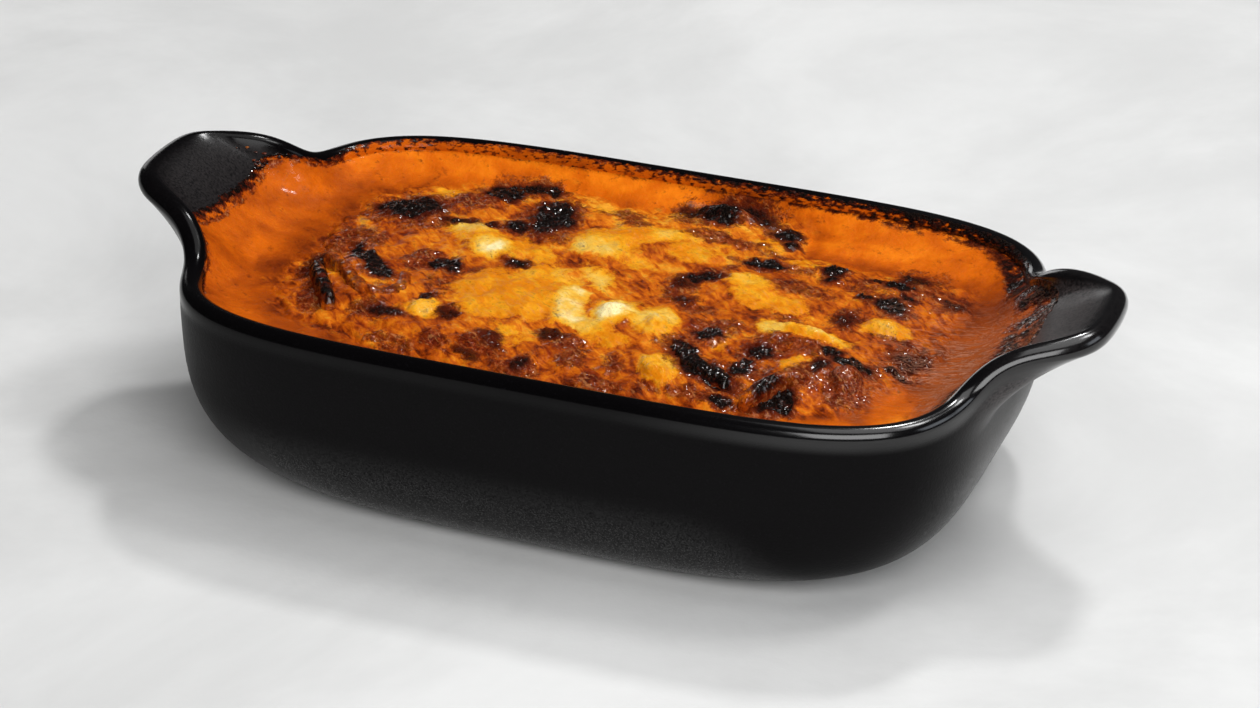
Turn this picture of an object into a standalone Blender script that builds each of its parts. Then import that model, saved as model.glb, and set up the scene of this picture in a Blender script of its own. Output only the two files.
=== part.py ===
"""Baked pasta under browned cheese, in an oblong stoneware gratin dish with two ears.

Metres, +Z up. X runs along the dish from ear to ear and Y across it. The origin is the
middle of the dish's resting face.

The dish is one closed loft: it starts at the resting face, climbs the outside, goes over
the round rim and comes down the inside to the floor. The sauce follows the inside of the
same walls, and the pasta bed stands in the sauce. Lumps of cheese and pieces of pasta sit
in pockets that are cut for them.
"""
import math

import bmesh
import bpy
import numpy as np

MM = 0.001
GAP = 0.3 * MM                     # clearance between solids that touch

# --- dish: its wall's middle surface is shaped, then half the wall stands on each side ---
WALL = 5.4 * MM
RIM_HALF_LENGTH = 93.8 * MM        # middle of the rim, without the ears
RIM_HALF_WIDTH = 59.0 * MM
RIM_SQUARENESS = 4.6               # superellipse power: 2 is an ellipse, more is squarer
FLOOR_HALF_LENGTH = 57.9 * MM
FLOOR_HALF_WIDTH = 45.5 * MM
FLOOR_SQUARENESS = 3.5
RIM_HEIGHT = 45.2 * MM             # middle of the round rim above the resting face
WALL_BOW = 2.03                    # power of the wall's upright curve
LIP_HEIGHT = 9.8 * MM              # depth over which the wall turns into the rim and ears
EAR_REACH = 23.9 * MM
EAR_RISE = 11.4 * MM
EAR_HALF_WIDTH = 20.5 * MM         # where the ear has half of its reach
EAR_FLARE = 3.4 * MM               # larger is a softer S between the rim and the tip
LIFT_HALF_WIDTH = 26.2 * MM        # where the rim has half of its rise
LIFT_FLARE = 3.0 * MM
EAR_PITCH = 0.42                   # rise over run of the ear's upper face at its tip
EAR_SWEEP = 0.42                   # how far the ear's upper face runs straight

# --- contents ---
SAUCE_DROP = 4.0 * MM              # open sauce below the middle of the rim
SAUCE_CLIMB = 0.50                 # how far up an ear's upper face the sauce has baked
EAR_GAP = 0.7 * MM                 # extra clearance under the sauce on the ears' slopes
SAUCE_BANK = 2.6                   # power of the bank that climbs the wall
BED_EDGE_DROP = 3.0 * MM           # edge of the pasta bed below the middle of the rim
BED_CROWN = 1.6 * MM               # general rise of the bed above its edge
BED_FLOOR_SHARE = 0.80             # bed's foot, as a share of the dish's floor
# Outline of the bed: direction in degrees from +X, and share of the way to the wall.
BED_OUTLINE = (
    (0, 0.90), (12, 0.90), (22, 0.89), (33, 0.70), (44, 0.66), (58, 0.90),
    (66, 0.96), (82, 0.96), (94, 0.86), (108, 0.85), (125, 0.90), (142, 0.82), (158, 0.86),
    (178, 0.87), (192, 0.87), (203, 0.85), (216, 0.82), (232, 0.86), (255, 0.92),
    (285, 0.93), (308, 0.90), (320, 0.84), (334, 0.84), (346, 0.88),
)
# Swells of the bed: x, y, half length, half width (mm), turn (degrees), height (mm).
BED_SWELLS = (
    (-57, -20, 16, 11, -45, 2.8),
    (-63, 18, 11, 9, 20, 1.4),
    (-36, 8, 13, 9, -25, 1.4),
    (-42, 38, 16, 8, 5, 1.4),
    (-18, -17, 15, 13, -10, 1.2),
    (-4, 22, 16, 10, 15, 1.5),
    (12, 48, 12, 8, -10, 2.0),
    (12, -19, 13, 10, -10, 1.6),
    (-28, -38, 16, 8, 0, 1.0),
    (26, -38, 12, 7, -35, 1.4),
    (32, 8, 14, 9, -15, 1.4),
    (50, -12, 14, 6, -5, 1.8),
    (60, -28, 12, 10, 15, 2.2),
    (66, 18, 12, 9, 30, 1.2),
    (44, 26, 10, 5, 0, 1.0),
)

# --- how finely the lofts are made ---
COLUMNS = 56
TURNING_WEIGHT = 1.0               # columns crowd where the outline turns
WALL_RINGS = 6
LIP_RINGS = 4
RIM_ARC_STEPS = 4
BED_RINGS = 8
SKIN_REACHES = (0.92, 0.78, 0.55, 0.0)
WELL_SHARES = (0.35, 0.7, 1.0)
LUMP_SEGMENTS = 12
LUMP_RINGS = 6
RIBBON_SIDES = 6

# Lumps: name, middle x, y, top above the bed's edge, half sizes (mm), turn, unevenness.
LUMPS = (
    ("cheese_centre_left", (5.8, -15.8), 5.0, (6.0, 6.8, 4.6), 10, 0.08),
    ("cheese_centre_right", (17.2, -17.4), 4.5, (5.2, 7.0, 4.6), 25, 0.10),
    ("cheese_left", (-38.5, 10.5), 3.8, (11.5, 6.4, 4.4), -38, 0.12),
    ("cheese_back", (-5.0, 24.0), 3.6, (14.5, 7.6, 4.4), 30, 0.14),
    ("cheese_ridge_right", (50.0, -9.0), 4.4, (12.6, 4.2, 4.4), -8, 0.16),
    ("cheese_patch_right", (65.0, 2.8), 2.9, (5.6, 4.4, 3.4), -15, 0.10),
    ("cheese_front", (25.0, -37.5), 4.0, (8.8, 4.6, 4.4), -46, 0.12),
    ("cheese_front_left", (-37.0, -28.5), 3.4, (4.4, 5.4, 4.0), -20, 0.10),
    ("pasta_chunk_right", (65.5, -26.0), 5.0, (4.8, 6.0, 5.4), 12, 0.08),
    ("pasta_chunk_back", (12.0, 46.2), 4.4, (9.5, 4.4, 4.6), -8, 0.10),
)
# Ribbons: name, path of x, y and top above the bed's edge (mm), half width, half depth (mm).
RIBBONS = (
    ("pasta_fold_left",
     ((-69, -12, 4.6), (-60.5, -19, 4.8), (-54, -25.5, 4.6), (-48, -26.5, 4.0),
      (-45.5, -20, 3.4), (-48.5, -12, 3.2)), 2.0, 3.4),
    ("pasta_edge_left",
     ((-69, -17, 3.6), (-65.5, -23, 4.8), (-61, -29.5, 5.0), (-56.5, -35.5, 4.0)), 1.9, 4.0),
    ("pasta_arch_right",
     ((47.0, -44, 1.8), (49, -38.0, 3.8), (53, -33, 4.8), (58.5, -29.5, 4.0)), 1.7, 3.2),
    ("crust_ridge_front",
     ((24.5, -23.5, 3.0), (29, -29.5, 3.8), (35, -34, 3.8), (42.5, -37, 3.0)), 2.4, 3.0),
)

FINISHES = {
    "stoneware": ((0.020, 0.020, 0.022), 0.38),
    "sauce": ((0.60, 0.19, 0.03), 0.42),
    "bed": ((0.42, 0.14, 0.03), 0.45),
    "cheese": ((0.80, 0.52, 0.14), 0.45),
    "pasta": ((0.45, 0.17, 0.04), 0.45),
}


def clear_scene():
    """Empty the file and make the two collections."""
    for old in list(bpy.data.objects):
        bpy.data.objects.remove(old, do_unlink=True)
    made = []
    for name in ("baked_pasta", "cutters"):
        collection = bpy.data.collections.new(name)
        bpy.context.scene.collection.children.link(collection)
        made.append(collection)
    return made


def make_finish(name):
    """A plain Principled material from the table of finishes."""
    colour, roughness = FINISHES[name]
    material = bpy.data.materials.new(name)
    material.use_nodes = True
    shader = material.node_tree.nodes["Principled BSDF"]
    shader.inputs["Base Color"].default_value = (*colour, 1.0)
    shader.inputs["Roughness"].default_value = roughness
    shader.inputs["Metallic"].default_value = 0.0
    return material


# ------------------------------------------------------------------ curves and surfaces
def ease(share):
    """Smooth step from 0 to 1."""
    share = np.clip(share, 0.0, 1.0)
    return share * share * (3.0 - 2.0 * share)


def superellipse(half_x, half_y, power, angle):
    """Points of a superellipse at the given angles."""
    c, s = np.cos(angle), np.sin(angle)
    return (half_x * np.sign(c) * np.abs(c) ** (2 / power),
            half_y * np.sign(s) * np.abs(s) ** (2 / power))


def flare(x, y, half_width, softness):
    """1 in the middle of an ear and 0 along the plain rim, with an S between."""
    return (np.abs(x) > RIM_HALF_LENGTH / 2) / (1 + np.exp((np.abs(y) - half_width) / softness))


def rim_line(angle):
    """Middle line of the rim, ears included, and the ears' share in it."""
    x, y = superellipse(RIM_HALF_LENGTH, RIM_HALF_WIDTH, RIM_SQUARENESS, angle)
    share = flare(x, y, EAR_HALF_WIDTH, EAR_FLARE)
    lift = EAR_RISE * flare(x, y, LIFT_HALF_WIDTH, LIFT_FLARE)
    return x + np.sign(x) * EAR_REACH * share, y, RIM_HEIGHT + lift, share


def column_angles(count):
    """Angles of the loft's columns, closer together where the rim turns."""
    fine = np.linspace(0.0, 2 * math.pi, 8001)
    x, y, _, _ = rim_line(fine)
    dx, dy = np.diff(x), np.diff(y)
    length = np.hypot(dx, dy)
    heading = np.unwrap(np.arctan2(dy, dx))
    turning = np.abs(np.diff(heading, append=heading[-1]))
    travel = length / length.sum() + TURNING_WEIGHT * turning / turning.sum()
    travel = np.concatenate([[0.0], np.cumsum(travel)])
    even = np.linspace(0.0, travel[-1], count, endpoint=False)
    return np.interp(even, travel, fine)


def wall_point(angle, climb):
    """A point of the wall's middle surface: climb 0 at the floor's edge, 1 at the rim."""
    rim_x, rim_y, rim_z, share = rim_line(angle)
    body_x, body_y = superellipse(RIM_HALF_LENGTH, RIM_HALF_WIDTH, RIM_SQUARENESS, angle)
    floor_x, floor_y = superellipse(FLOOR_HALF_LENGTH, FLOOR_HALF_WIDTH, FLOOR_SQUARENESS, angle)
    height = RIM_HEIGHT - WALL / 2

    def plain(bend):
        """The plain wall curve, a quarter of a superellipse standing on the floor."""
        out = np.sin(bend)
        up = 1.0 - np.cos(bend) ** (1 / WALL_BOW)
        return np.stack([floor_x + (body_x - floor_x) * out,
                         floor_y + (body_y - floor_y) * out,
                         WALL / 2 + height * up + 0 * body_x], axis=-1)

    last = math.acos((LIP_HEIGHT / height) ** WALL_BOW)
    if climb <= 0.5:
        return plain(last * climb * 2)
    start = plain(last)
    along = start - plain(last - 0.02)
    along = along / np.linalg.norm(along, axis=-1, keepdims=True)
    rim = np.stack([rim_x, rim_y, rim_z + 0 * rim_x], axis=-1)
    outward = np.stack([np.sign(rim_x), 0 * rim_x, EAR_PITCH + 0 * rim_x], axis=-1)
    outward = outward / np.linalg.norm(outward, axis=-1, keepdims=True)
    end = (1 - share)[:, None] * np.array([0.0, 0.0, 1.0]) + share[:, None] * outward
    end = end / np.linalg.norm(end, axis=-1, keepdims=True)
    pull = LIP_HEIGHT / 2
    second = start + along * pull
    third = rim - end * (pull + share * EAR_REACH * EAR_SWEEP)[:, None]
    u = (climb - 0.5) * 2
    return ((1 - u) ** 3 * start + 3 * (1 - u) ** 2 * u * second
            + 3 * (1 - u) * u * u * third + u ** 3 * rim)


def wall_frame(angle, climb):
    """Point, outward normal and upward direction of the wall's middle surface."""
    step = 1e-3
    low, high = max(climb - step, 0.0), min(climb + step, 1.0)
    point = wall_point(angle, climb)
    up = wall_point(angle, high) - wall_point(angle, low)
    around = wall_point(angle + step, climb) - wall_point(angle - step, climb)
    normal = np.cross(around, up)
    normal /= np.linalg.norm(normal, axis=-1, keepdims=True)
    up /= np.linalg.norm(up, axis=-1, keepdims=True)
    return point, normal, up


def wall_ring(angle, climb, offset):
    """A ring at one climb, moved off the middle surface: + is outward, - is inward."""
    point, normal, _ = wall_frame(angle, climb)
    return point + normal * offset


def wall_climbs():
    """Climbs of the rings that every loft along the wall shares."""
    wall = [0.5 * i / WALL_RINGS for i in range(WALL_RINGS)]
    lip = [0.5 + 0.5 * i / LIP_RINGS for i in range(LIP_RINGS + 1)]
    return wall + lip


# ------------------------------------------------------------------ contents
def sauce_limit(angle):
    """Climb at which the sauce ends: the rim's height, but lower on the ears' slopes."""
    _, _, _, share = rim_line(angle)
    return 1.0 - 0.5 * (1 - SAUCE_CLIMB) * share


def at_climb(rings, climb):
    """Points at a climb that differs from column to column, on the facets of the rings."""
    levels = np.array(wall_climbs())
    found = np.empty_like(rings[0])
    for column in range(len(climb)):
        stack = np.array([ring[column] for ring in rings])
        for axis in range(3):
            found[column, axis] = np.interp(climb[column], levels, stack[:, axis])
    return found


def outline_share(direction):
    """Share of the way to the wall at which the bed ends, smooth from point to point."""
    degrees = np.degrees(direction) % 360.0
    first = BED_OUTLINE[0]
    stops = list(BED_OUTLINE) + [(first[0] + 360, first[1])]
    share = np.zeros_like(degrees)
    for (a, low), (b, high) in zip(stops[:-1], stops[1:]):
        inside = (degrees >= a) & (degrees <= b)
        share = np.where(inside, low + (high - low) * ease((degrees - a) / (b - a)), share)
    return share


def bed_outline(angle):
    """Plan outline of the bed, one point for each column."""
    inner = wall_ring(angle, 1.0, -(WALL / 2 + GAP))[:, :2]
    limit_x = RIM_HALF_LENGTH - WALL / 2 - GAP
    inner[:, 0] = np.clip(inner[:, 0], -limit_x, limit_x)
    return inner * outline_share(np.arctan2(inner[:, 1], inner[:, 0]))[:, None]


def bed_height(x, y, reach):
    """Height of the bed's top. reach is 1 at its outline and 0 in the middle."""
    edge = RIM_HEIGHT - BED_EDGE_DROP
    height = BED_CROWN * (1 - reach ** 4)
    for cx, cy, half_long, half_wide, turn, rise in BED_SWELLS:
        c, s = math.cos(math.radians(turn)), math.sin(math.radians(turn))
        u = ((x - cx * MM) * c + (y - cy * MM) * s) / (half_long * MM)
        v = (-(x - cx * MM) * s + (y - cy * MM) * c) / (half_wide * MM)
        height = height + rise * MM * np.exp(-(u * u + v * v))
    return edge + height * ease((1 - reach) * 4)


def sauce_level():
    """Height of the open sauce beside the bed."""
    return RIM_HEIGHT - SAUCE_DROP


# ------------------------------------------------------------------ meshes
def finish_mesh(name, bm, collection, material):
    """Turn a bmesh into an object with its faces pointing out."""
    bmesh.ops.recalc_face_normals(bm, faces=bm.faces)
    if bm.calc_volume(signed=True) < 0:
        bmesh.ops.reverse_faces(bm, faces=bm.faces)
    mesh = bpy.data.meshes.new(name)
    bm.to_mesh(mesh)
    bm.free()
    obj = bpy.data.objects.new(name, mesh)
    collection.objects.link(obj)
    if material is not None:
        mesh.materials.append(material)
    mesh.shade_smooth()
    mesh.set_sharp_from_angle(angle=math.radians(50))
    return obj


def split_quad(bm, a, b, c, d):
    """Two triangles across the shorter diagonal, so that lofts that face each other agree."""
    if (a.co - c.co).length <= (b.co - d.co).length:
        bm.faces.new((a, b, c))
        bm.faces.new((a, c, d))
    else:
        bm.faces.new((a, b, d))
        bm.faces.new((b, c, d))


def loft(name, rings, collection, material, closed=False, pole=None):
    """Skin a list of rings. closed joins the last ring to the first; otherwise both ends
    are flat caps, or the last one a fan to the pole."""
    bm = bmesh.new()
    rows = [[bm.verts.new(point) for point in ring] for ring in rings]
    pairs = list(zip(rows[:-1], rows[1:]))
    if closed:
        pairs.append((rows[-1], rows[0]))
    count = len(rows[0])
    for low, high in pairs:
        for i in range(count):
            j = (i + 1) % count
            split_quad(bm, low[i], low[j], high[j], high[i])
    if not closed:
        bm.faces.new(list(reversed(rows[0])))
        if pole is None:
            bm.faces.new(rows[-1])
        else:
            tip = bm.verts.new(pole)
            for i in range(count):
                bm.faces.new((rows[-1][i], rows[-1][(i + 1) % count], tip))
    return finish_mesh(name, bm, collection, material)


def make_dish(angle, collection, material):
    """The dish and its ears, one piece of stoneware."""
    climbs = wall_climbs()
    outside = [wall_ring(angle, climb, WALL / 2) for climb in climbs]
    inside = [wall_ring(angle, climb, -WALL / 2) for climb in reversed(climbs)]
    middle, normal, up = wall_frame(angle, 1.0)
    over = []
    for step in range(1, RIM_ARC_STEPS):
        bend = math.pi * step / RIM_ARC_STEPS
        over.append(middle + (normal * math.cos(bend) + up * math.sin(bend)) * WALL / 2)
    return loft("dish", outside + over + inside, collection, material)


def make_sauce(angle, collection, material):
    """The sauce: a ring between the walls and the bed, from the floor to its skin."""
    climbs = wall_climbs()
    _, _, _, share = rim_line(angle)
    offset = -(WALL / 2 + GAP + EAR_GAP * ease(share * 2))[:, None]
    facets = [wall_ring(angle, climb, offset) for climb in climbs]
    limit = sauce_limit(angle)
    plain = [climb for climb in climbs if climb < 0.5][::2]
    side = [at_climb(facets, limit * climb) for climb in plain]
    side += [at_climb(facets, limit * climb) for climb in climbs if climb >= 0.5]
    top = side[-1]
    outline, foot = bed_outline(angle), foot_outline(angle)
    skin = []
    for reach in SKIN_REACHES:
        flat = outline + (top[:, :2] - outline) * reach
        rise = (top[:, 2] - sauce_level()) * reach ** SAUCE_BANK
        skin.append(np.column_stack([flat, sauce_level() + rise]))
    return loft("sauce", side + skin + well_rings(outline, foot), collection, material, closed=True)


def well_rings(outline, foot):
    """Rings between the bed and the sauce, from near the top down to the dish's floor."""
    rings = []
    for down in WELL_SHARES:
        flat = outline + (foot - outline) * down
        height = sauce_level() + (WALL + GAP - sauce_level()) * down
        rings.append(np.column_stack([flat, np.full(len(flat), height)]))
    return rings


def foot_outline(angle):
    """Plan outline of the bed where it stands on the dish's floor."""
    x, y = superellipse(FLOOR_HALF_LENGTH, FLOOR_HALF_WIDTH, FLOOR_SQUARENESS, angle)
    return np.column_stack([x, y]) * BED_FLOOR_SHARE


def make_bed(angle, collection, material):
    """The mass of pasta under its browned top, standing in the sauce."""
    outline, foot = bed_outline(angle), foot_outline(angle)
    outline = outline * (1 - 1.4 * GAP / np.linalg.norm(outline, axis=1, keepdims=True))
    foot = foot * (1 - 1.4 * GAP / np.linalg.norm(foot, axis=1, keepdims=True))
    rings = well_rings(outline, foot)[::-1]
    for step in range(BED_RINGS):
        reach = 1.0 - step / BED_RINGS
        flat = outline * reach
        height = bed_height(flat[:, 0], flat[:, 1], np.full(len(angle), reach))
        rings.append(np.column_stack([flat, height]))
    middle = bed_height(np.zeros(1), np.zeros(1), np.zeros(1))[0]
    return loft("pasta_bed", rings, collection, material, pole=(0.0, 0.0, middle))


def make_lump(name, centre, top, half, turn, unevenness, grow, collection, material):
    """A rounded, uneven lump. grow makes the slightly larger copy that cuts its pocket."""
    bm = bmesh.new()
    bmesh.ops.create_uvsphere(bm, u_segments=LUMP_SEGMENTS, v_segments=LUMP_RINGS, radius=1.0)
    phase = centre[0] * 0.37 + centre[1] * 0.71
    c, s = math.cos(math.radians(turn)), math.sin(math.radians(turn))
    top_z = RIM_HEIGHT - BED_EDGE_DROP + top * MM
    for vert in bm.verts:
        x, y, z = vert.co
        around = math.atan2(y, x)
        wobble = 1 + unevenness * (math.sin(2 * around + phase) * 0.6
                                   + math.sin(3 * around + 2 * phase) * 0.5) * (1 - z * z)
        u = x * wobble * (half[0] * MM + grow)
        v = y * wobble * (half[1] * MM + grow)
        w = z * (half[2] * MM + grow)
        vert.co = (centre[0] * MM + u * c - v * s, centre[1] * MM + u * s + v * c,
                   top_z - half[2] * MM + w)
    return finish_mesh(name, bm, collection, material)


def smooth_path(points, per_span=3):
    """Catmull-Rom points through a short list of x, y, z."""
    points = [np.array(p, dtype=float) for p in points]
    points = [2 * points[0] - points[1]] + points + [2 * points[-1] - points[-2]]
    path = []
    for i in range(1, len(points) - 2):
        for step in range(per_span):
            t = step / per_span
            a, b, c, d = points[i - 1:i + 3]
            path.append(0.5 * (2 * b + (c - a) * t + (2 * a - 5 * b + 4 * c - d) * t * t
                               + (3 * b - a - 3 * c + d) * t ** 3))
    path.append(points[-2])
    return np.array(path)


def make_ribbon(name, points, half_width, half_depth, grow, collection, material):
    """A strip of pasta standing on edge along a path, with rounded ends."""
    path = smooth_path(points) * MM
    path[:, 2] += RIM_HEIGHT - BED_EDGE_DROP - half_depth * MM
    heading = np.gradient(path[:, :2], axis=0)
    heading /= np.linalg.norm(heading, axis=1, keepdims=True)
    count = len(path)
    rings = []
    for i in range(count):
        end = min(i, count - 1 - i)
        taper = (0.55, 0.9)[end] if end < 2 else 1.0
        across = np.array([-heading[i, 1], heading[i, 0], 0.0])
        place = path[i].copy()
        if i in (0, count - 1):
            place[:2] += heading[i] * grow * (-1 if i == 0 else 1)
        ring = []
        for side in range(RIBBON_SIDES):
            angle = 2 * math.pi * (side + 0.5) / RIBBON_SIDES
            u, v = superellipse(half_width * MM * taper + grow, half_depth * MM * taper + grow,
                                3.0, np.array([angle]))
            ring.append(place + across * u[0] + np.array([0.0, 0.0, v[0]]))
        rings.append(ring)
    return loft(name, rings, collection, material)


def cut_pocket(target, cutter):
    """Cut one pocket with an exact Boolean."""
    cutter.hide_render = True
    cutter.display_type = "WIRE"
    cut = target.modifiers.new(cutter.name, "BOOLEAN")
    cut.operation = "DIFFERENCE"
    cut.solver = "EXACT"
    cut.object = cutter


def main():
    parts, cutters = clear_scene()
    finishes = {name: make_finish(name) for name in FINISHES}
    angle = column_angles(COLUMNS)
    make_dish(angle, parts, finishes["stoneware"])
    make_sauce(angle, parts, finishes["sauce"])
    bed = make_bed(angle, parts, finishes["bed"])

    for name, centre, top, half, turn, unevenness in LUMPS:
        finish = finishes["cheese" if name.startswith("cheese") else "pasta"]
        make_lump(name, centre, top, half, turn, unevenness, 0.0, parts, finish)
        pocket = make_lump(name + "_pocket", centre, top, half, turn, unevenness, GAP, cutters, None)
        cut_pocket(bed, pocket)
    for name, points, half_width, half_depth in RIBBONS:
        make_ribbon(name, points, half_width, half_depth, 0.0, parts, finishes["pasta"])
        pocket = make_ribbon(name + "_pocket", points, half_width, half_depth, GAP, cutters, None)
        cut_pocket(bed, pocket)


main()
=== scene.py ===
"""Baked pasta under browned cheese in a black stoneware gratin dish, dressed for a studio render.

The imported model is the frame. Every piece below stands for one or more of its nodes, or is a
topping that lies on them, and rides on the one body. Design sizes are in millimetres and are
turned into metres when a mesh is made.
"""
import logging
import math
from dataclasses import dataclass
from enum import Enum

import bmesh
import bpy
import numpy as np
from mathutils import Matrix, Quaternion, Vector


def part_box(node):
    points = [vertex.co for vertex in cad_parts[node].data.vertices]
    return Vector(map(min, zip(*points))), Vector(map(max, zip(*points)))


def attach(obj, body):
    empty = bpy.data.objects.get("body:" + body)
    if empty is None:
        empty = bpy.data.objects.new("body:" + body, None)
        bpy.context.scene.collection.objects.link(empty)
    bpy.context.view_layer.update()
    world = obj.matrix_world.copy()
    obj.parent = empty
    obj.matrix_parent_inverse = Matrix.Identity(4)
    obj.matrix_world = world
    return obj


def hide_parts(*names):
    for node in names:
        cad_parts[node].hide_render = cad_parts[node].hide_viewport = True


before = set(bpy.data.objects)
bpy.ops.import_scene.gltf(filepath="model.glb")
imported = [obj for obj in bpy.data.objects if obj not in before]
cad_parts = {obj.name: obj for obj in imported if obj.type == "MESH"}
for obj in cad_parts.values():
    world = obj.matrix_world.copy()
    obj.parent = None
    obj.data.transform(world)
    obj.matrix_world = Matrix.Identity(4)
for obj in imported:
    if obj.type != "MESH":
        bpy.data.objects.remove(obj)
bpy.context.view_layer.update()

LOG = logging.getLogger("baked_pasta")
MM = 0.001
BODY = "root"
Array = np.ndarray


# ---------------------------------------------------------------------------- small helpers
def ease(share: Array, low: float = 0.0, high: float = 1.0) -> Array:
    """Smooth step of share from 0 at low to 1 at high."""
    t = np.clip((share - low) / (high - low), 0.0, 1.0)
    return t * t * (3.0 - 2.0 * t)


def in_oval(x: Array, y: Array, middle: tuple[float, float], half: tuple[float, float],
            turn: float) -> tuple[Array, Array]:
    """Places as shares of a turned oval's half sizes.

    Args:
        x: places along X in mm.
        y: places along Y in mm.
        middle: the oval's middle.
        half: its half sizes along and across.
        turn: the way that it lies, in degrees from the X axis.

    Returns:
        Shares along and across.
    """
    c, s = math.cos(math.radians(turn)), math.sin(math.radians(turn))
    return (((x - middle[0]) * c + (y - middle[1]) * s) / half[0],
            (-(x - middle[0]) * s + (y - middle[1]) * c) / half[1])


def smooth_max(a: Array, b: Array, fillet: float) -> Array:
    """The larger of two heights, with a fillet where they meet."""
    h = np.clip(0.5 + 0.5 * (a - b) / fillet, 0.0, 1.0)
    return b + (a - b) * h + fillet * h * (1.0 - h)


def paint(red: int, green: int, blue: int) -> tuple[float, float, float, float]:
    """A display colour of 0 to 255 as the linear colour that shaders take.

    Args:
        red: red of 0 to 255.
        green: green of 0 to 255.
        blue: blue of 0 to 255.

    Returns:
        The colour with an alpha of 1.
    """
    def channel(value: int) -> float:
        """One channel, from display to linear."""
        share = value / 255
        return share / 12.92 if share <= 0.04045 else ((share + 0.055) / 1.055) ** 2.4
    return channel(red), channel(green), channel(blue), 1.0


class Waves:
    """Gradient noise over the plane, the same in every run."""

    def __init__(self, seed: int) -> None:
        """Draw the table of directions.

        Args:
            seed: number that fixes the pattern.
        """
        turns = np.random.default_rng(seed).uniform(0, 2 * math.pi, (256, 256))
        self.lean_x, self.lean_y = np.cos(turns), np.sin(turns)

    def at(self, x: Array, y: Array, size: float) -> Array:
        """Noise of about -1 to 1.

        Args:
            x: places along X in mm.
            y: places along Y in mm.
            size: width of one wave in mm.

        Returns:
            One value for each place.
        """
        u, v = np.asarray(x) / size + 31.7, np.asarray(y) / size + 17.3
        i, j = np.floor(u).astype(int), np.floor(v).astype(int)
        fu, fv = u - i, v - j
        su = fu ** 3 * (fu * (fu * 6 - 15) + 10)
        sv = fv ** 3 * (fv * (fv * 6 - 15) + 10)

        def corner(di: int, dj: int) -> Array:
            """The pull of one corner of the cell."""
            a, b = (i + di) % 256, (j + dj) % 256
            return self.lean_x[a, b] * (fu - di) + self.lean_y[a, b] * (fv - dj)

        low = corner(0, 0) * (1 - su) + corner(1, 0) * su
        high = corner(0, 1) * (1 - su) + corner(1, 1) * su
        return 1.6 * (low * (1 - sv) + high * sv)

    def layers(self, x: Array, y: Array, size: float, count: int = 3, keep: float = 0.5) -> Array:
        """Several sizes of noise in one, each half as wide as the last.

        Args:
            x: places along X in mm.
            y: places along Y in mm.
            size: width of the widest wave in mm.
            count: number of layers.
            keep: height of each layer as a share of the last.

        Returns:
            One value for each place.
        """
        total, height = np.zeros(np.shape(x)), 1.0
        for layer in range(count):
            total = total + height * self.at(x + 9.1 * layer, y - 5.7 * layer, size / 2 ** layer)
            height *= keep
        return total

    def ridges(self, x: Array, y: Array, size: float, count: int = 3) -> Array:
        """Sharp crests of 0 to about 1, like wrinkled skin or crumbled crust.

        Args:
            x: places along X in mm.
            y: places along Y in mm.
            size: the first layer's wavelength in mm.
            count: how many layers, each finer than the last.

        Returns:
            One height for each place.
        """
        total, height = np.zeros(np.shape(x)), 0.6
        for layer in range(count):
            wave = self.at(x - 7.9 * layer, y + 3.3 * layer, size / 2 ** layer)
            total = total + height * (1.0 - np.abs(wave)) ** 2
            height *= 0.5
        return total


WAVES = Waves(41)


# ---------------------------------------------------------------------------- meshes
class MeshBuilder:
    """Collects points and faces in millimetres and turns them into one object in metres."""

    def __init__(self, name: str) -> None:
        """Start an empty mesh with the piece's name.

        Args:
            name: the name of the object to come.
        """
        self.name = name
        self.points: list[Array] = []
        self.faces: list[Array] = []
        self.marks: dict[str, list[Array]] = {}
        self.count = 0

    def add(self, points: Array, faces: Array, marks: dict[str, Array] | None = None) -> None:
        """Add one part of the mesh.

        Args:
            points: n by 3 places in mm.
            faces: m by 3 or m by 4 indices into points.
            marks: values for each point, by name.
        """
        if faces.shape[1] == 3:
            faces = np.column_stack([faces, np.full(len(faces), -1 - self.count)])
        self.points.append(points)
        self.faces.append(faces + self.count)
        for name, values in (marks or {}).items():
            self.marks.setdefault(name, []).append(np.broadcast_to(values, len(points)))
        self.count += len(points)

    def close_ends(self, rows: int, columns: int) -> None:
        """Close the first and last ring of a loft, whose tips are its last two points.

        Args:
            rows: how many rings the loft has.
            columns: how many points a ring has.
        """
        tip = rows * columns
        fans = [fan_faces(0, columns, tip), fan_faces(tip - columns, columns, tip + 1)]
        self.faces.append(np.column_stack([np.concatenate(fans), np.full(columns * 2, -1)]))

    def build(self, angle: float = 180.0) -> bpy.types.Object:
        """Make the object, closed and with its faces pointing out.

        Args:
            angle: faces that meet at more than this many degrees keep a sharp edge.

        Returns:
            The new object, linked to the scene.
        """
        points = np.concatenate(self.points) * MM
        faces = [[i for i in face if i >= 0] for face in np.concatenate(self.faces).tolist()]
        mesh = bpy.data.meshes.new(self.name)
        mesh.from_pydata(points.tolist(), [], faces)
        for name, values in self.marks.items():
            mark = mesh.attributes.new(name, "FLOAT", "POINT")
            mark.data.foreach_set("value", np.concatenate(values).astype(np.float32))
        bm = bmesh.new()
        bm.from_mesh(mesh)
        bmesh.ops.recalc_face_normals(bm, faces=bm.faces)
        bm.to_mesh(mesh)
        bm.free()
        mesh.shade_smooth()
        if angle < 180:
            mesh.set_sharp_from_angle(angle=math.radians(angle))
        piece = bpy.data.objects.new(self.name, mesh)
        bpy.context.scene.collection.objects.link(piece)
        return piece


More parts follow.
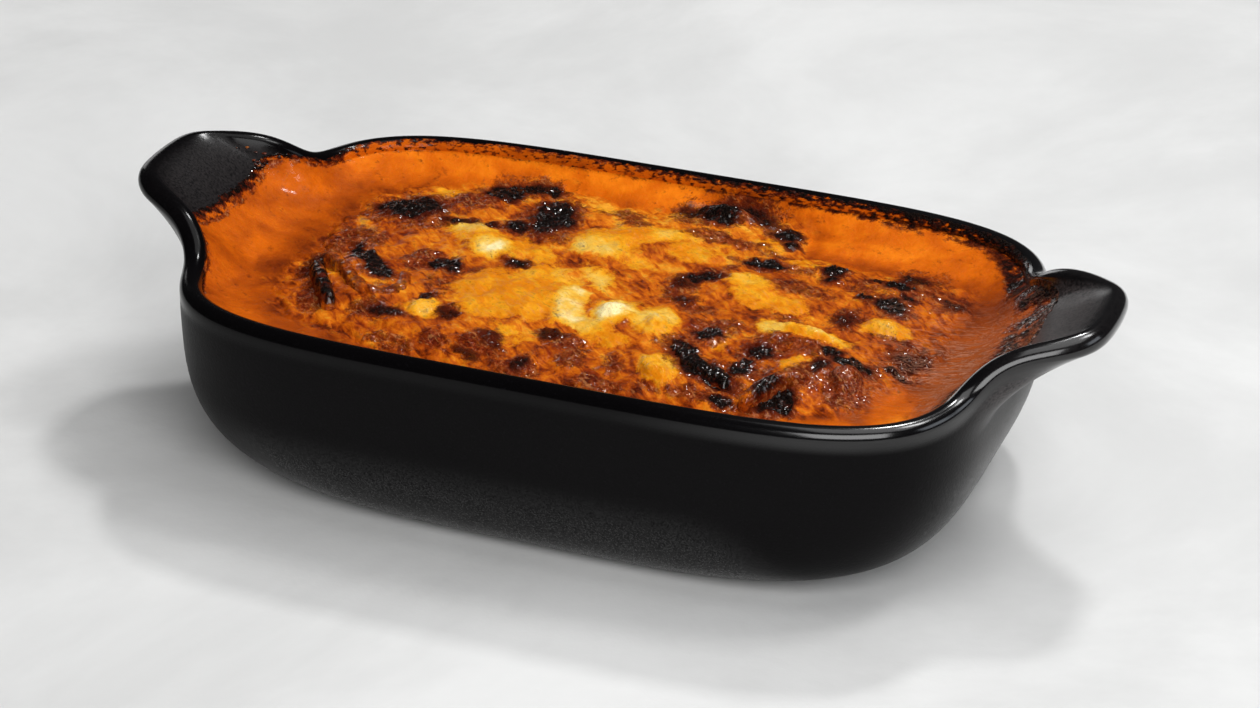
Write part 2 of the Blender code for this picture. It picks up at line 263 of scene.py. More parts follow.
def band_faces(rows: int, columns: int, closed_rows: bool = False) -> Array:
    """Quads of a grid of rings whose columns close on themselves.

    Args:
        rows: number of rings.
        columns: points in each ring.
        closed_rows: whether the last ring joins the first.

    Returns:
        Indices, four to a face.
    """
    last = rows if closed_rows else rows - 1
    i, j = np.meshgrid(np.arange(last), np.arange(columns), indexing="ij")
    k, n = (i + 1) % rows, (j + 1) % columns
    quads = np.stack([i * columns + j, i * columns + n, k * columns + n, k * columns + j], -1)
    return quads.reshape(-1, 4)


def fan_faces(start: int, columns: int, tip: int) -> Array:
    """Triangles from one ring to a single point."""
    j = np.arange(columns)
    return np.column_stack([start + j, start + (j + 1) % columns, np.full(columns, tip)])


def patch_faces(index: Array, keep: Array | None = None) -> Array:
    """Quads of a grid of points, or of its kept cells alone.

    Args:
        index: the number of each point in the grid.
        keep: the cells that stay, or None for all.

    Returns:
        Rows of four point numbers.
    """
    corners = (index[:-1, :-1], index[:-1, 1:], index[1:, 1:], index[1:, :-1])
    if keep is not None:
        corners = tuple(corner[keep] for corner in corners)
    return np.stack(corners, -1).reshape(-1, 4)


def dress(piece: bpy.types.Object, material: bpy.types.Material, slot: str,
          *nodes: str) -> bpy.types.Object:
    """Give a piece its material and its place in the frame.

    Args:
        piece: the new object.
        material: its finish.
        slot: the name of a material slot; not used.
        nodes: CAD nodes that it stands for.

    Returns:
        The same object.
    """
    piece.data.materials.append(material)
    if nodes:
        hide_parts(*nodes)
    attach(piece, BODY)
    triangles = sum(len(face.vertices) - 2 for face in piece.data.polygons)
    LOG.info("%s: %d triangles, stands for %s", piece.name, triangles, nodes or "itself")
    return piece


# ---------------------------------------------------------------------------- shader sheets
class Sheet:
    """Short-hand for laying out one node tree."""

    def __init__(self, tree: bpy.types.NodeTree) -> None:
        """Keep the tree that the nodes go into."""
        self.tree = tree

    def add(self, kind: str, **settings: object) -> bpy.types.Node:
        """Add a node and set its properties.

        Args:
            kind: the node's type.
            **settings: values of the node's own properties.

        Returns:
            The new node.
        """
        node = self.tree.nodes.new(kind)
        for name, value in settings.items():
            setattr(node, name, value)
        return node

    def feed(self, target: bpy.types.NodeSocket, source: object) -> None:
        """Link a socket, or set its value if the source is a plain number or colour.

        Args:
            target: the input that takes it.
            source: a socket, a number or a colour.
        """
        if isinstance(source, bpy.types.NodeSocket):
            self.tree.links.new(source, target)
        else:
            target.default_value = source

    def math(self, operation: str, a: object, b: object = 0.0) -> bpy.types.NodeSocket:
        """One Math node.

        Args:
            operation: the node's operation.
            a: the first value.
            b: the second value.

        Returns:
            The node's result.
        """
        node = self.add("ShaderNodeMath", operation=operation)
        self.feed(node.inputs[0], a)
        self.feed(node.inputs[1], b)
        return node.outputs[0]

    def plus(self, first: object, *others: object) -> bpy.types.NodeSocket:
        """The sum of all values, added from left to right.

        Args:
            first: a socket or a plain number.
            *others: more sockets or numbers.

        Returns:
            The last node's result.
        """
        for value in others:
            first = self.math("ADD", first, value)
        return first

    def times(self, first: object, *others: object) -> bpy.types.NodeSocket:
        """The product of all values.

        Args:
            first: a socket or a plain number.
            *others: more sockets or numbers.

        Returns:
            The last node's result.
        """
        for value in others:
            first = self.math("MULTIPLY", first, value)
        return first

    def most(self, first: object, *others: object) -> bpy.types.NodeSocket:
        """The largest of all values.

        Args:
            first: a socket or a plain number.
            *others: more sockets or numbers.

        Returns:
            The last node's result.
        """
        for value in others:
            first = self.math("MAXIMUM", first, value)
        return first

    def swing(self, value: object, height: object) -> bpy.types.NodeSocket:
        """Noise of 0 to 1 turned into a swing about 0."""
        return self.times(self.math("SUBTRACT", value, 0.5), height)

    def blend(self, share: object, first: object, second: object) -> bpy.types.NodeSocket:
        """Mix two colours.

        Args:
            share: how much of the second colour shows.
            first: the colour at 0.
            second: the colour at 1.

        Returns:
            The mixed colour.
        """
        node = self.add("ShaderNodeMix", data_type="RGBA", clamp_factor=True)
        self.feed(node.inputs["Factor"], share)
        self.feed(node.inputs[6], first)
        self.feed(node.inputs[7], second)
        return node.outputs[2]

    def between(self, share: object, first: object, second: object) -> bpy.types.NodeSocket:
        """Mix two numbers.

        Args:
            share: how much of the second number counts.
            first: the number at 0.
            second: the number at 1.

        Returns:
            The mixed number.
        """
        node = self.add("ShaderNodeMix", data_type="FLOAT", clamp_factor=True)
        self.feed(node.inputs["Factor"], share)
        self.feed(node.inputs[2], first)
        self.feed(node.inputs[3], second)
        return node.outputs[0]

    def step(self, value: object, low: float, high: float) -> bpy.types.NodeSocket:
        """Smooth step from 0 at low to 1 at high.

        Args:
            value: the value to sharpen.
            low: where the step starts.
            high: where the step ends.

        Returns:
            A value of 0 to 1.
        """
        node = self.add("ShaderNodeMapRange", interpolation_type="SMOOTHSTEP")
        self.feed(node.inputs["Value"], value)
        node.inputs["From Min"].default_value = low
        node.inputs["From Max"].default_value = high
        return node.outputs["Result"]

    def noise(self, place: object, scale: object, detail: float = 3.0,
              rough: float = 0.55, twist: float = 0.0) -> bpy.types.NodeSocket:
        """Noise of 0 to 1. Scale is waves for each metre.

        Args:
            place: the coordinates.
            scale: waves for each metre.
            detail: how many finer layers.
            rough: how strong the finer layers are.
            twist: how far the pattern is distorted.

        Returns:
            The noise's value.
        """
        node = self.add("ShaderNodeTexNoise")
        self.feed(node.inputs["Vector"], place)
        self.feed(node.inputs["Scale"], scale)
        node.inputs["Detail"].default_value = detail
        node.inputs["Roughness"].default_value = rough
        node.inputs["Distortion"].default_value = twist
        return node.outputs["Fac"]

    def ramp(self, share: object, stops: tuple) -> bpy.types.NodeSocket:
        """A colour for each value, through the given stops.

        Args:
            share: the value of 0 to 1.
            stops: rows of a place on the ramp and its colour.

        Returns:
            The colour.
        """
        node = self.add("ShaderNodeValToRGB")
        ramp = node.color_ramp
        while len(ramp.elements) < len(stops):
            ramp.elements.new(0.5)
        for element, (place, colour) in zip(ramp.elements, stops):
            element.position, element.color = place, colour
        self.feed(node.inputs["Fac"], share)
        return node.outputs["Color"]

    def place(self) -> bpy.types.NodeSocket:
        """The object's own coordinates, in metres."""
        return self.add("ShaderNodeTexCoord").outputs["Object"]

    def mark(self, name: str) -> bpy.types.NodeSocket:
        """A value that the mesh carries for each point."""
        return self.add("ShaderNodeAttribute", attribute_name=name).outputs["Fac"]

    def bump(self, shader: bpy.types.Node, height: bpy.types.NodeSocket, strength: float,
             distance: float) -> None:
        """Feed a height to the shader's normal. The distance is in metres.

        Args:
            shader: the shader that takes the normal.
            height: the height of 0 to 1.
            strength: how strong the bump is.
            distance: the bump's full height in metres.
        """
        node = self.add("ShaderNodeBump")
        node.inputs["Strength"].default_value = strength
        node.inputs["Distance"].default_value = distance
        self.feed(node.inputs["Height"], height)
        self.feed(shader.inputs["Normal"], node.outputs["Normal"])


def start_material(name: str) -> tuple[bpy.types.Material, Sheet, bpy.types.Node]:
    """A new material with a sheet for its nodes and its Principled shader.

    Args:
        name: the material's name.

    Returns:
        The material, its sheet and its shader.
    """
    material = bpy.data.materials.new(name)
    material.use_nodes = True
    return material, Sheet(material.node_tree), material.node_tree.nodes["Principled BSDF"]


class NodeGroups:
    """Shader effects that several finishes share, each built once."""

    def __init__(self) -> None:
        """Start with no groups."""
        self.made: dict[str, bpy.types.NodeTree] = {}

    @staticmethod
    def sockets(name: str, inputs: dict[str, tuple[str, object]],
                outputs: dict[str, str]) -> bpy.types.NodeTree:
        """Make an empty group with its sockets.

        Args:
            name: the group's name.
            inputs: kind and default value by socket name.
            outputs: kind by socket name.

        Returns:
            The new node tree.
        """
        tree = bpy.data.node_groups.new(name, "ShaderNodeTree")
        for label, (kind, value) in inputs.items():
            socket = tree.interface.new_socket(name=label, in_out="INPUT", socket_type=kind)
            if value is not None:
                socket.default_value = value
        for label, kind in outputs.items():
            tree.interface.new_socket(name=label, in_out="OUTPUT", socket_type=kind)
        return tree

    def crumble(self) -> bpy.types.NodeTree:
        """A soft mask broken up by noise, as a browned edge is."""
        if "crumble" in self.made:
            return self.made["crumble"]
        tree = self.sockets(
            "Crumbled edge",
            {"Place": ("NodeSocketVector", None), "Mask": ("NodeSocketFloat", 0.0),
             "Coarse": ("NodeSocketFloat", 420.0), "Fine": ("NodeSocketFloat", 2100.0),
             "Reach": ("NodeSocketFloat", 0.5)},
            {"Mask": "NodeSocketFloat", "Noise": "NodeSocketFloat"})
        sheet = Sheet(tree)
        inside, out = sheet.add("NodeGroupInput"), sheet.add("NodeGroupOutput")
        coarse = sheet.noise(inside.outputs["Place"], inside.outputs["Coarse"], 3.0, 0.6, 0.6)
        fine = sheet.noise(inside.outputs["Place"], inside.outputs["Fine"], 2.0, 0.6)
        both = sheet.plus(sheet.times(coarse, 0.65), sheet.times(fine, 0.35))
        pushed = sheet.swing(both, inside.outputs["Reach"])
        total = sheet.plus(inside.outputs["Mask"], sheet.times(pushed, 2.4))
        sheet.feed(out.inputs["Mask"], sheet.step(total, 0.26, 0.78))
        sheet.feed(out.inputs["Noise"], both)
        self.made["crumble"] = tree
        return tree

    def grain(self) -> bpy.types.NodeTree:
        """Fine grain with a few larger swells, as a height of 0 to 1."""
        if "grain" in self.made:
            return self.made["grain"]
        tree = self.sockets(
            "Grain",
            {"Place": ("NodeSocketVector", None), "Fine": ("NodeSocketFloat", 2600.0),
             "Coarse": ("NodeSocketFloat", 500.0), "Share": ("NodeSocketFloat", 0.5)},
            {"Height": "NodeSocketFloat"})
        sheet = Sheet(tree)
        inside, out = sheet.add("NodeGroupInput"), sheet.add("NodeGroupOutput")
        fine = sheet.noise(inside.outputs["Place"], inside.outputs["Fine"], 2.0, 0.6)
        coarse = sheet.noise(inside.outputs["Place"], inside.outputs["Coarse"], 3.0, 0.5)
        sheet.feed(out.inputs["Height"], sheet.between(inside.outputs["Share"], fine, coarse))
        self.made["grain"] = tree
        return tree

    def place_group(self, sheet: Sheet, tree: bpy.types.NodeTree,
                    **values: object) -> bpy.types.Node:
        """Put a group into a material and feed its inputs by name.

        Args:
            sheet: the material's sheet.
            tree: the group.
            **values: a socket or a number for each input.

        Returns:
            The group's node.
        """
        node = sheet.add("ShaderNodeGroup")
        node.node_tree = tree
        for label, value in values.items():
            sheet.feed(node.inputs[label], value)
        return node


GROUPS = NodeGroups()


# ---------------------------------------------------------------------------- finishes
@dataclass(frozen=True)
class GlazeFinish:
    """Black stoneware glaze: grainy and half matt on the body, glossy along the rim, with a painted
    grey sheen on the tops of the ears.
    """

    name: str = "stoneware_glaze"
    body: tuple = paint(6, 5, 6)
    fleck: tuple = paint(18, 17, 20)
    # Painted sheen: the light grey painted on the tops of the ears in place of their reflection.
    painted_sheen_grey: tuple = paint(66, 61, 61)
    body_roughness: float = 0.42
    rim_roughness: float = 0.15
    grain: float = 1500.0
    coarse_grain: float = 380.0
    mottle: float = 60.0
    bump: float = 0.55
    bump_height: float = 0.00012

    def material(self) -> bpy.types.Material:
        """Build the material."""
        material, sheet, shader = start_material(self.name)
        place = sheet.place()
        rim = sheet.mark("rim")
        fine = sheet.noise(place, self.grain, 3.0, 0.7)
        broad = sheet.noise(place, self.mottle, 2.0, 0.5)
        flecks = sheet.times(sheet.step(fine, 0.56, 0.74), 0.55)
        # Painted sheen: the tops of the ears turn lighter grey, broken by the fine grain.
        painted_sheen = sheet.times(sheet.mark("painted_sheen"), sheet.step(fine, 0.30, 0.62))
        colour = sheet.blend(painted_sheen, sheet.blend(flecks, self.body, self.fleck), self.painted_sheen_grey)
        sheet.feed(shader.inputs["Base Color"], colour)
        worn = sheet.plus(sheet.times(fine, 0.16), sheet.times(broad, 0.12))
        rough = sheet.plus(worn, self.body_roughness - 0.14)
        polished = sheet.plus(self.rim_roughness - 0.05, sheet.times(broad, 0.1))
        sheet.feed(shader.inputs["Roughness"], sheet.between(rim, rough, polished))
        grain = GROUPS.place_group(sheet, GROUPS.grain(), Place=place, Fine=self.grain,
                                   Coarse=self.coarse_grain, Share=0.2)
        calm = sheet.math("SUBTRACT", 1.0, sheet.times(rim, 0.85))
        height = sheet.times(grain.outputs["Height"],
                             sheet.plus(calm, sheet.times(sheet.mark("ear"), 0.4)))
        sheet.bump(shader, height, self.bump, self.bump_height)
        speckle = sheet.step(sheet.noise(place, self.grain * 1.6, 2.0, 0.7), 0.30, 0.70)
        sheen = sheet.times(sheet.mark("sheen"), speckle)
        sheet.feed(shader.inputs["Coat Weight"], sheet.most(sheet.mark("gloss"), sheen))
        shader.inputs["Coat Roughness"].default_value = 0.16
        shader.inputs["Specular IOR Level"].default_value = 0.08
        return material


@dataclass(frozen=True)
class BakedFinish:
    """The baked top: sauce, toasted pasta, melted cheese and char, told apart by marks; some marks
    carry painted light, painted shade and painted reflection haze.
    """

    name: str = "baked_top"
    sauce_tones: tuple = ((0.0, paint(118, 44, 8)), (0.35, paint(172, 74, 8)),
                          (0.65, paint(210, 98, 10)), (1.0, paint(244, 132, 20)))
    toast_tones: tuple = ((0.0, paint(84, 26, 8)), (0.25, paint(146, 58, 11)),
                          (0.50, paint(192, 92, 14)), (0.75, paint(218, 122, 22)),
                          (1.0, paint(236, 158, 44)))
    cheese_tones: tuple = ((0.0, paint(220, 128, 12)), (0.28, paint(236, 164, 30)),
                           (0.58, paint(238, 192, 82)), (1.0, paint(254, 238, 176)))
    sauce_red: tuple = paint(128, 32, 6)
    # Painted reflection haze: the greyed orange of the sauce skin at the right end.
    painted_haze: tuple = paint(164, 82, 36)
    hair: tuple = paint(206, 146, 118)
    strand: tuple = paint(212, 142, 84)
    speck: tuple = paint(150, 80, 26)
    brown_tones: tuple = ((0.0, paint(38, 9, 5)), (0.42, paint(84, 22, 7)),
                          (0.66, paint(128, 48, 16)), (1.0, paint(204, 128, 80)))
    char_tones: tuple = ((0.0, paint(6, 4, 5)), (0.55, paint(14, 8, 8)),
                         (1.0, paint(78, 26, 14)))
    char_edge: tuple = paint(70, 17, 6)
    broad_scale: float = 110.0
    mid_scale: float = 480.0
    fine_scale: float = 1500.0
    streak_turn: float = -42.0
    streak_length: float = 0.36
    streak_scale: float = 430.0
    thread_length: float = 0.22
    thread_scale: float = 1100.0
    hair_turn: float = 12.0
    hair_length: float = 0.16
    hair_scale: float = 620.0
    roughness: float = 0.46
    bump: float = 1.0
    bump_height: float = 0.0006
    see_in: float = 0.08

    def material(self) -> bpy.types.Material:
        """Build the material."""
        material, sheet, shader = start_material(self.name)
        place = sheet.place()
        broad = sheet.noise(place, self.broad_scale, 3.0, 0.55, 0.4)
        mid = sheet.noise(place, self.mid_scale, 3.0, 0.6, 0.3)
        fine = sheet.noise(place, self.fine_scale, 2.0, 0.6)
        streaks = self.drawn(sheet, place, self.streak_turn, self.streak_length,
                             self.streak_scale)
        threads = self.drawn(sheet, place, self.streak_turn, self.thread_length,
                             self.thread_scale)
        hairs = self.drawn(sheet, place, self.hair_turn, self.hair_length, self.hair_scale)

        def crumbled(mark: str, reach: float, coarse: float = 420.0) -> bpy.types.NodeSocket:
            """One mark with a crumbled edge."""
            group = GROUPS.place_group(sheet, GROUPS.crumble(), Place=place,
                                       Mask=sheet.mark(mark), Coarse=coarse, Reach=reach)
            return group.outputs["Mask"]

        # The sauce's lightness mark carries both its own tone and painted light.
        light = sheet.plus(sheet.mark("tone_and_painted_light"), sheet.swing(broad, 1.0), sheet.swing(mid, 0.22))
        # Painted reflection haze: the sauce at the right end is greyed towards a duller orange.
        colour = sheet.blend(sheet.times(sheet.mark("painted_haze"), 0.75),
                             sheet.ramp(light, self.sauce_tones), self.painted_haze)
        # The toast's lightness takes the same mark of own tone and painted light.
        toasted = sheet.plus(sheet.mark("tone_and_painted_light"), sheet.swing(streaks, 1.9),
                             sheet.swing(broad, 1.5), sheet.swing(mid, 0.6))
        colour = sheet.blend(sheet.mark("toast"), colour, sheet.ramp(toasted, self.toast_tones))
        colour = sheet.blend(sheet.times(crumbled("red", 0.6), 0.6), colour, self.sauce_red)
        cheese = crumbled("cheese", 1.0, 300.0)
        pale = sheet.plus(sheet.mark("pale"), sheet.swing(mid, 0.5), sheet.swing(streaks, 0.8),
                          sheet.swing(broad, 0.7), 0.08)
        colour = sheet.blend(sheet.times(cheese, 0.95), colour,
                             sheet.ramp(pale, self.cheese_tones))
        specks = sheet.times(sheet.step(fine, 0.62, 0.72), cheese)
        colour = sheet.blend(sheet.times(specks, 0.5), colour, self.speck)
        brown = crumbled("brown", 1.0)
        grime = sheet.plus(sheet.swing(mid, 1.5), fine)
        colour = sheet.blend(sheet.times(brown, 0.88), colour,
                             sheet.ramp(grime, self.brown_tones))
        thread = sheet.times(sheet.step(threads, 0.54, 0.66),
                             sheet.most(brown, sheet.times(cheese, 0.7)))
        colour = sheet.blend(sheet.times(thread, 0.4), colour, self.strand)
        scorch = sheet.plus(sheet.mark("char"), sheet.swing(mid, 0.8),
                            sheet.swing(streaks, 0.9), sheet.swing(fine, 0.35))
        edge = sheet.step(scorch, 0.06, 0.46)
        char = sheet.step(scorch, 0.40, 0.86)
        colour = sheet.blend(sheet.times(edge, 0.86), colour, self.char_edge)
        colour = sheet.blend(char, colour, sheet.ramp(grime, self.char_tones))
        # Wrinkle lines, kept to where the painted haze lies.
        hair = sheet.step(sheet.math("ABSOLUTE", sheet.swing(hairs, 1.0)), 0.045, 0.0)
        hair = sheet.times(hair, sheet.mark("painted_haze"))
        colour = sheet.blend(sheet.times(hair, 0.6), colour, self.hair)
        sheet.feed(shader.inputs["Base Color"], colour)
        rough = sheet.plus(self.roughness, sheet.swing(mid, 0.2))
        rough = sheet.math("SUBTRACT", rough, sheet.times(sheet.mark("wet"), 0.15))
        sheet.feed(shader.inputs["Roughness"], rough)
        crusted = sheet.plus(sheet.times(brown, 0.5), char)
        grit = sheet.times(fine, sheet.plus(0.12, sheet.times(crusted, 0.9)))
        pulled = sheet.times(streaks, sheet.times(sheet.mark("toast"), 0.5))
        height = sheet.plus(grit, sheet.times(mid, 0.6), pulled, sheet.times(hair, 0.2))
        sheet.bump(shader, height, self.bump, self.bump_height)
        shader.inputs["Subsurface Weight"].default_value = self.see_in
        shader.inputs["Subsurface Radius"].default_value = (1.0, 0.35, 0.1)
        shader.inputs["Subsurface Scale"].default_value = 0.0015
        shader.inputs["Specular IOR Level"].default_value = 0.05
        shader.inputs["Specular Tint"].default_value = (1.0, 0.6, 0.3, 1.0)
        oily = sheet.times(sheet.mark("wet"), sheet.step(mid, 0.46, 0.64))
        tarry = sheet.plus(0.25, sheet.times(sheet.mark("wet"), 0.75))
        tarry = sheet.times(char, sheet.times(tarry, sheet.step(fine, 0.42, 0.58)))
        gloss = sheet.most(oily, tarry, sheet.times(brown, sheet.step(fine, 0.52, 0.66)))
        sheet.feed(shader.inputs["Coat Weight"], sheet.times(gloss, 0.9))
        shader.inputs["Coat Roughness"].default_value = 0.09
        return material

    @staticmethod
    def drawn(sheet: Sheet, place: bpy.types.NodeSocket, turn: float, length: float,
              scale: float) -> bpy.types.NodeSocket:
        """Noise drawn out along one way, as cheese strings and wrinkles run.

        Args:
            sheet: the material's sheet.
            place: coordinates in metres.
            turn: the way that it runs, in degrees from the X axis.
            length: scale along that way as a share of the scale across it.
            scale: waves for each metre across.

        Returns:
            Noise of 0 to 1.
        """
        turned = sheet.add("ShaderNodeVectorRotate", rotation_type="Z_AXIS")
        sheet.feed(turned.inputs["Vector"], place)
        turned.inputs["Angle"].default_value = -math.radians(turn)
        drawn = sheet.add("ShaderNodeVectorMath", operation="MULTIPLY")
        sheet.feed(drawn.inputs[0], turned.outputs["Vector"])
        drawn.inputs[1].default_value = (length, 1.0, 1.0)
        return sheet.noise(drawn.outputs["Vector"], scale, 4.0, 0.62, 0.9)


@dataclass(frozen=True)
class BurntFinish:
    """Burnt crumbs and crust: nearly black, with brown and a dull gloss."""

    name: str = "burnt_crumbs"
    dark: tuple = paint(15, 9, 9)
    brown: tuple = paint(92, 34, 10)
    gold: tuple = paint(168, 92, 26)
    roughness: float = 0.36
    mid_scale: float = 700.0
    bump: float = 0.8
    bump_height: float = 0.0003

    def material(self) -> bpy.types.Material:
        """Build the material."""
        material, sheet, shader = start_material(self.name)
        place = sheet.place()
        mid = sheet.noise(place, self.mid_scale, 3.0, 0.6)
        tint = sheet.plus(sheet.mark("tint"), sheet.swing(mid, 0.8))
        toasted = sheet.blend(sheet.step(tint, 0.35, 0.95), self.dark, self.brown)
        sheet.feed(shader.inputs["Base Color"],
                   sheet.blend(sheet.step(tint, 0.95, 1.45), toasted, self.gold))
        sheet.feed(shader.inputs["Roughness"],
                   sheet.plus(self.roughness - 0.12, sheet.times(mid, 0.24)))
        grain = GROUPS.place_group(sheet, GROUPS.grain(), Place=place, Fine=3800.0,
                                   Coarse=1400.0, Share=0.5)
        sheet.bump(shader, grain.outputs["Height"], self.bump, self.bump_height)
        return material


@dataclass(frozen=True)
class FloorFinish:
    """A pale grey floor with faint mottling."""

    name: str = "pale_floor"
    light: tuple = paint(232, 232, 231)
    shade: tuple = paint(214, 214, 213)
    roughness: float = 0.8
    cloud_scale: float = 7.0
    pore_scale: float = 90.0
    bump: float = 0.25
    bump_height: float = 0.0008

    def material(self) -> bpy.types.Material:
        """Build the material."""
        material, sheet, shader = start_material(self.name)
        place = sheet.place()
        broad = sheet.noise(place, self.cloud_scale, 6.0, 0.62, 0.4)
        sheet.feed(shader.inputs["Base Color"],
                   sheet.blend(sheet.step(broad, 0.35, 0.68), self.shade, self.light))
        pores = sheet.noise(place, self.pore_scale, 4.0, 0.6)
        sheet.bump(shader, pores, self.bump, self.bump_height)
        shader.inputs["Roughness"].default_value = self.roughness
        return material


# ---------------------------------------------------------------------------- the dish
@dataclass
class GratinDish:
    """The stoneware dish with its two ears. Sizes are in millimetres."""

    wall: float = 5.4
    rim_half_length: float = 93.8
    rim_half_width: float = 59.0
    rim_power: float = 4.6
    floor_half_length: float = 57.9
    floor_half_width: float = 45.5
    floor_power: float = 3.5
    rim_height: float = 45.2
    wall_bow: float = 2.03
    lip_height: float = 9.8
    ear_reach: float = 23.9
    ear_rise: float = 11.4
    ear_half_width: float = 20.5
    ear_flare: float = 3.4
    lift_half_width: float = 26.2
    lift_flare: float = 3.0
    ear_pitch: float = 0.42
    ear_sweep: float = 0.42
    columns: int = 620
    wall_rings: int = 30
    arc_steps: int = 12

    @staticmethod
    def outline(half_x: float, half_y: float, power: float, angle: Array) -> tuple[Array, Array]:
        """Points of a superellipse at the given angles."""
        c, s = np.cos(angle), np.sin(angle)
        return (half_x * np.sign(c) * np.abs(c) ** (2 / power),
                half_y * np.sign(s) * np.abs(s) ** (2 / power))

    def flare(self, x: Array, y: Array, half_width: float, softness: float) -> Array:
        """1 in the middle of an ear and 0 along the plain rim, with an S between."""
        at_end = np.abs(x) > self.rim_half_length / 2
        return at_end / (1 + np.exp((np.abs(y) - half_width) / softness))

    def rim_line(self, angle: Array) -> tuple[Array, Array, Array, Array]:
        """Middle line of the rim, ears included.

        Args:
            angle: parameter round the dish.

        Returns:
            x, y, z and the ear's share at each angle.
        """
        x, y = self.outline(self.rim_half_length, self.rim_half_width, self.rim_power, angle)
        share = self.flare(x, y, self.ear_half_width, self.ear_flare)
        lift = self.ear_rise * self.flare(x, y, self.lift_half_width, self.lift_flare)
        return x + np.sign(x) * self.ear_reach * share, y, self.rim_height + lift, share

    def angles(self, count: int, turning: float = 0.55) -> Array:
        """Angles of the columns, closer together where the rim turns.

        Args:
            count: how many columns.
            turning: how strongly they gather where the rim turns.

        Returns:
            Angles in radians.
        """
        fine = np.linspace(0.0, 2 * math.pi, 8001)
        x, y, _, _ = self.rim_line(fine)
        dx, dy = np.diff(x), np.diff(y)
        length = np.hypot(dx, dy)
        heading = np.unwrap(np.arctan2(dy, dx))
        turn = np.abs(np.diff(heading, append=heading[-1]))
        travel = np.concatenate([[0.0], np.cumsum(length / length.sum()
                                                  + turning * turn / turn.sum())])
        return np.interp(np.linspace(0.0, travel[-1], count, endpoint=False), travel, fine)

    def wall_point(self, angle: Array, climb: Array) -> Array:
        """A point of the wall's middle surface.

        Args:
            angle: parameter round the dish.
            climb: 0 at the floor's edge, 0.5 where the lip starts, 1 at the rim.

        Returns:
            Places in mm, one for each angle.
        """
        climb = np.broadcast_to(climb, np.shape(angle)).astype(float)
        rim_x, rim_y, rim_z, share = self.rim_line(angle)
        body_x, body_y = self.outline(self.rim_half_length, self.rim_half_width,
                                      self.rim_power, angle)
        floor_x, floor_y = self.outline(self.floor_half_length, self.floor_half_width,
                                        self.floor_power, angle)
        height = self.rim_height - self.wall / 2

        def plain(bend: Array) -> Array:
            """The plain wall curve, a quarter of a superellipse on the floor."""
            out = np.sin(bend)
            up = 1.0 - np.cos(bend) ** (1 / self.wall_bow)
            return np.stack([floor_x + (body_x - floor_x) * out,
                             floor_y + (body_y - floor_y) * out,
                             self.wall / 2 + height * up + 0 * body_x], axis=-1)

        last = math.acos((self.lip_height / height) ** self.wall_bow)
        below = plain(last * np.minimum(climb, 0.5) * 2)
        start = plain(np.full(np.shape(angle), last))
        along = start - plain(np.full(np.shape(angle), last - 0.02))
        along = along / np.linalg.norm(along, axis=-1, keepdims=True)
        rim = np.stack([rim_x, rim_y, rim_z], axis=-1)
        outward = np.stack([np.sign(rim_x), 0 * rim_x, self.ear_pitch + 0 * rim_x], axis=-1)
        outward = outward / np.linalg.norm(outward, axis=-1, keepdims=True)
        end = (1 - share)[..., None] * np.array([0.0, 0.0, 1.0]) + share[..., None] * outward
        end = end / np.linalg.norm(end, axis=-1, keepdims=True)
        pull = self.lip_height / 2
        second = start + along * pull
        third = rim - end * (pull + share * self.ear_reach * self.ear_sweep)[..., None]
        u = (np.clip(climb, 0.5, 1.0)[..., None] - 0.5) * 2
        lip = ((1 - u) ** 3 * start + 3 * (1 - u) ** 2 * u * second
               + 3 * (1 - u) * u * u * third + u ** 3 * rim)
        return np.where((climb <= 0.5)[..., None], below, lip)

    def wall_frame(self, angle: Array, climb: Array) -> tuple[Array, Array, Array]:
        """Point, outward normal and upward direction of the wall's middle surface.

        Args:
            angle: angles of the columns in radians.
            climb: 0 at the floor's edge, 0.5 where the lip starts, 1 at the rim.

        Returns:
            Points in mm, unit normals and unit upward directions.
        """
        step = 1e-3
        climb = np.broadcast_to(climb, np.shape(angle)).astype(float)
        point = self.wall_point(angle, climb)
        up = (self.wall_point(angle, np.minimum(climb + step, 1.0))
              - self.wall_point(angle, np.maximum(climb - step, 0.0)))
        around = self.wall_point(angle + step, climb) - self.wall_point(angle - step, climb)
        normal = np.cross(around, up)
        normal /= np.linalg.norm(normal, axis=-1, keepdims=True)
        up /= np.linalg.norm(up, axis=-1, keepdims=True)
        return point, normal, up

    def inside(self, angle: Array, climb: Array, offset: Array | float = 0.0) -> Array:
        """Points on the inner face of the wall, moved in by the offset."""
        point, normal, _ = self.wall_frame(angle, climb)
        return point - normal * (self.wall / 2 + np.asarray(offset))[..., None]

    def over_rim(self, angle: Array, bend: Array, offset: Array) -> Array:
        """Points on the round rim.

        Args:
            angle: parameter round the dish.
            bend: 0 on the inner side, pi / 2 on top, pi on the outer side.
            offset: distance above the glaze.

        Returns:
            Places in mm.
        """
        middle, normal, up = self.wall_frame(angle, 1.0)
        reach = (self.wall / 2 + offset)[..., None]
        return middle + (up * np.sin(bend)[..., None] - normal * np.cos(bend)[..., None]) * reach

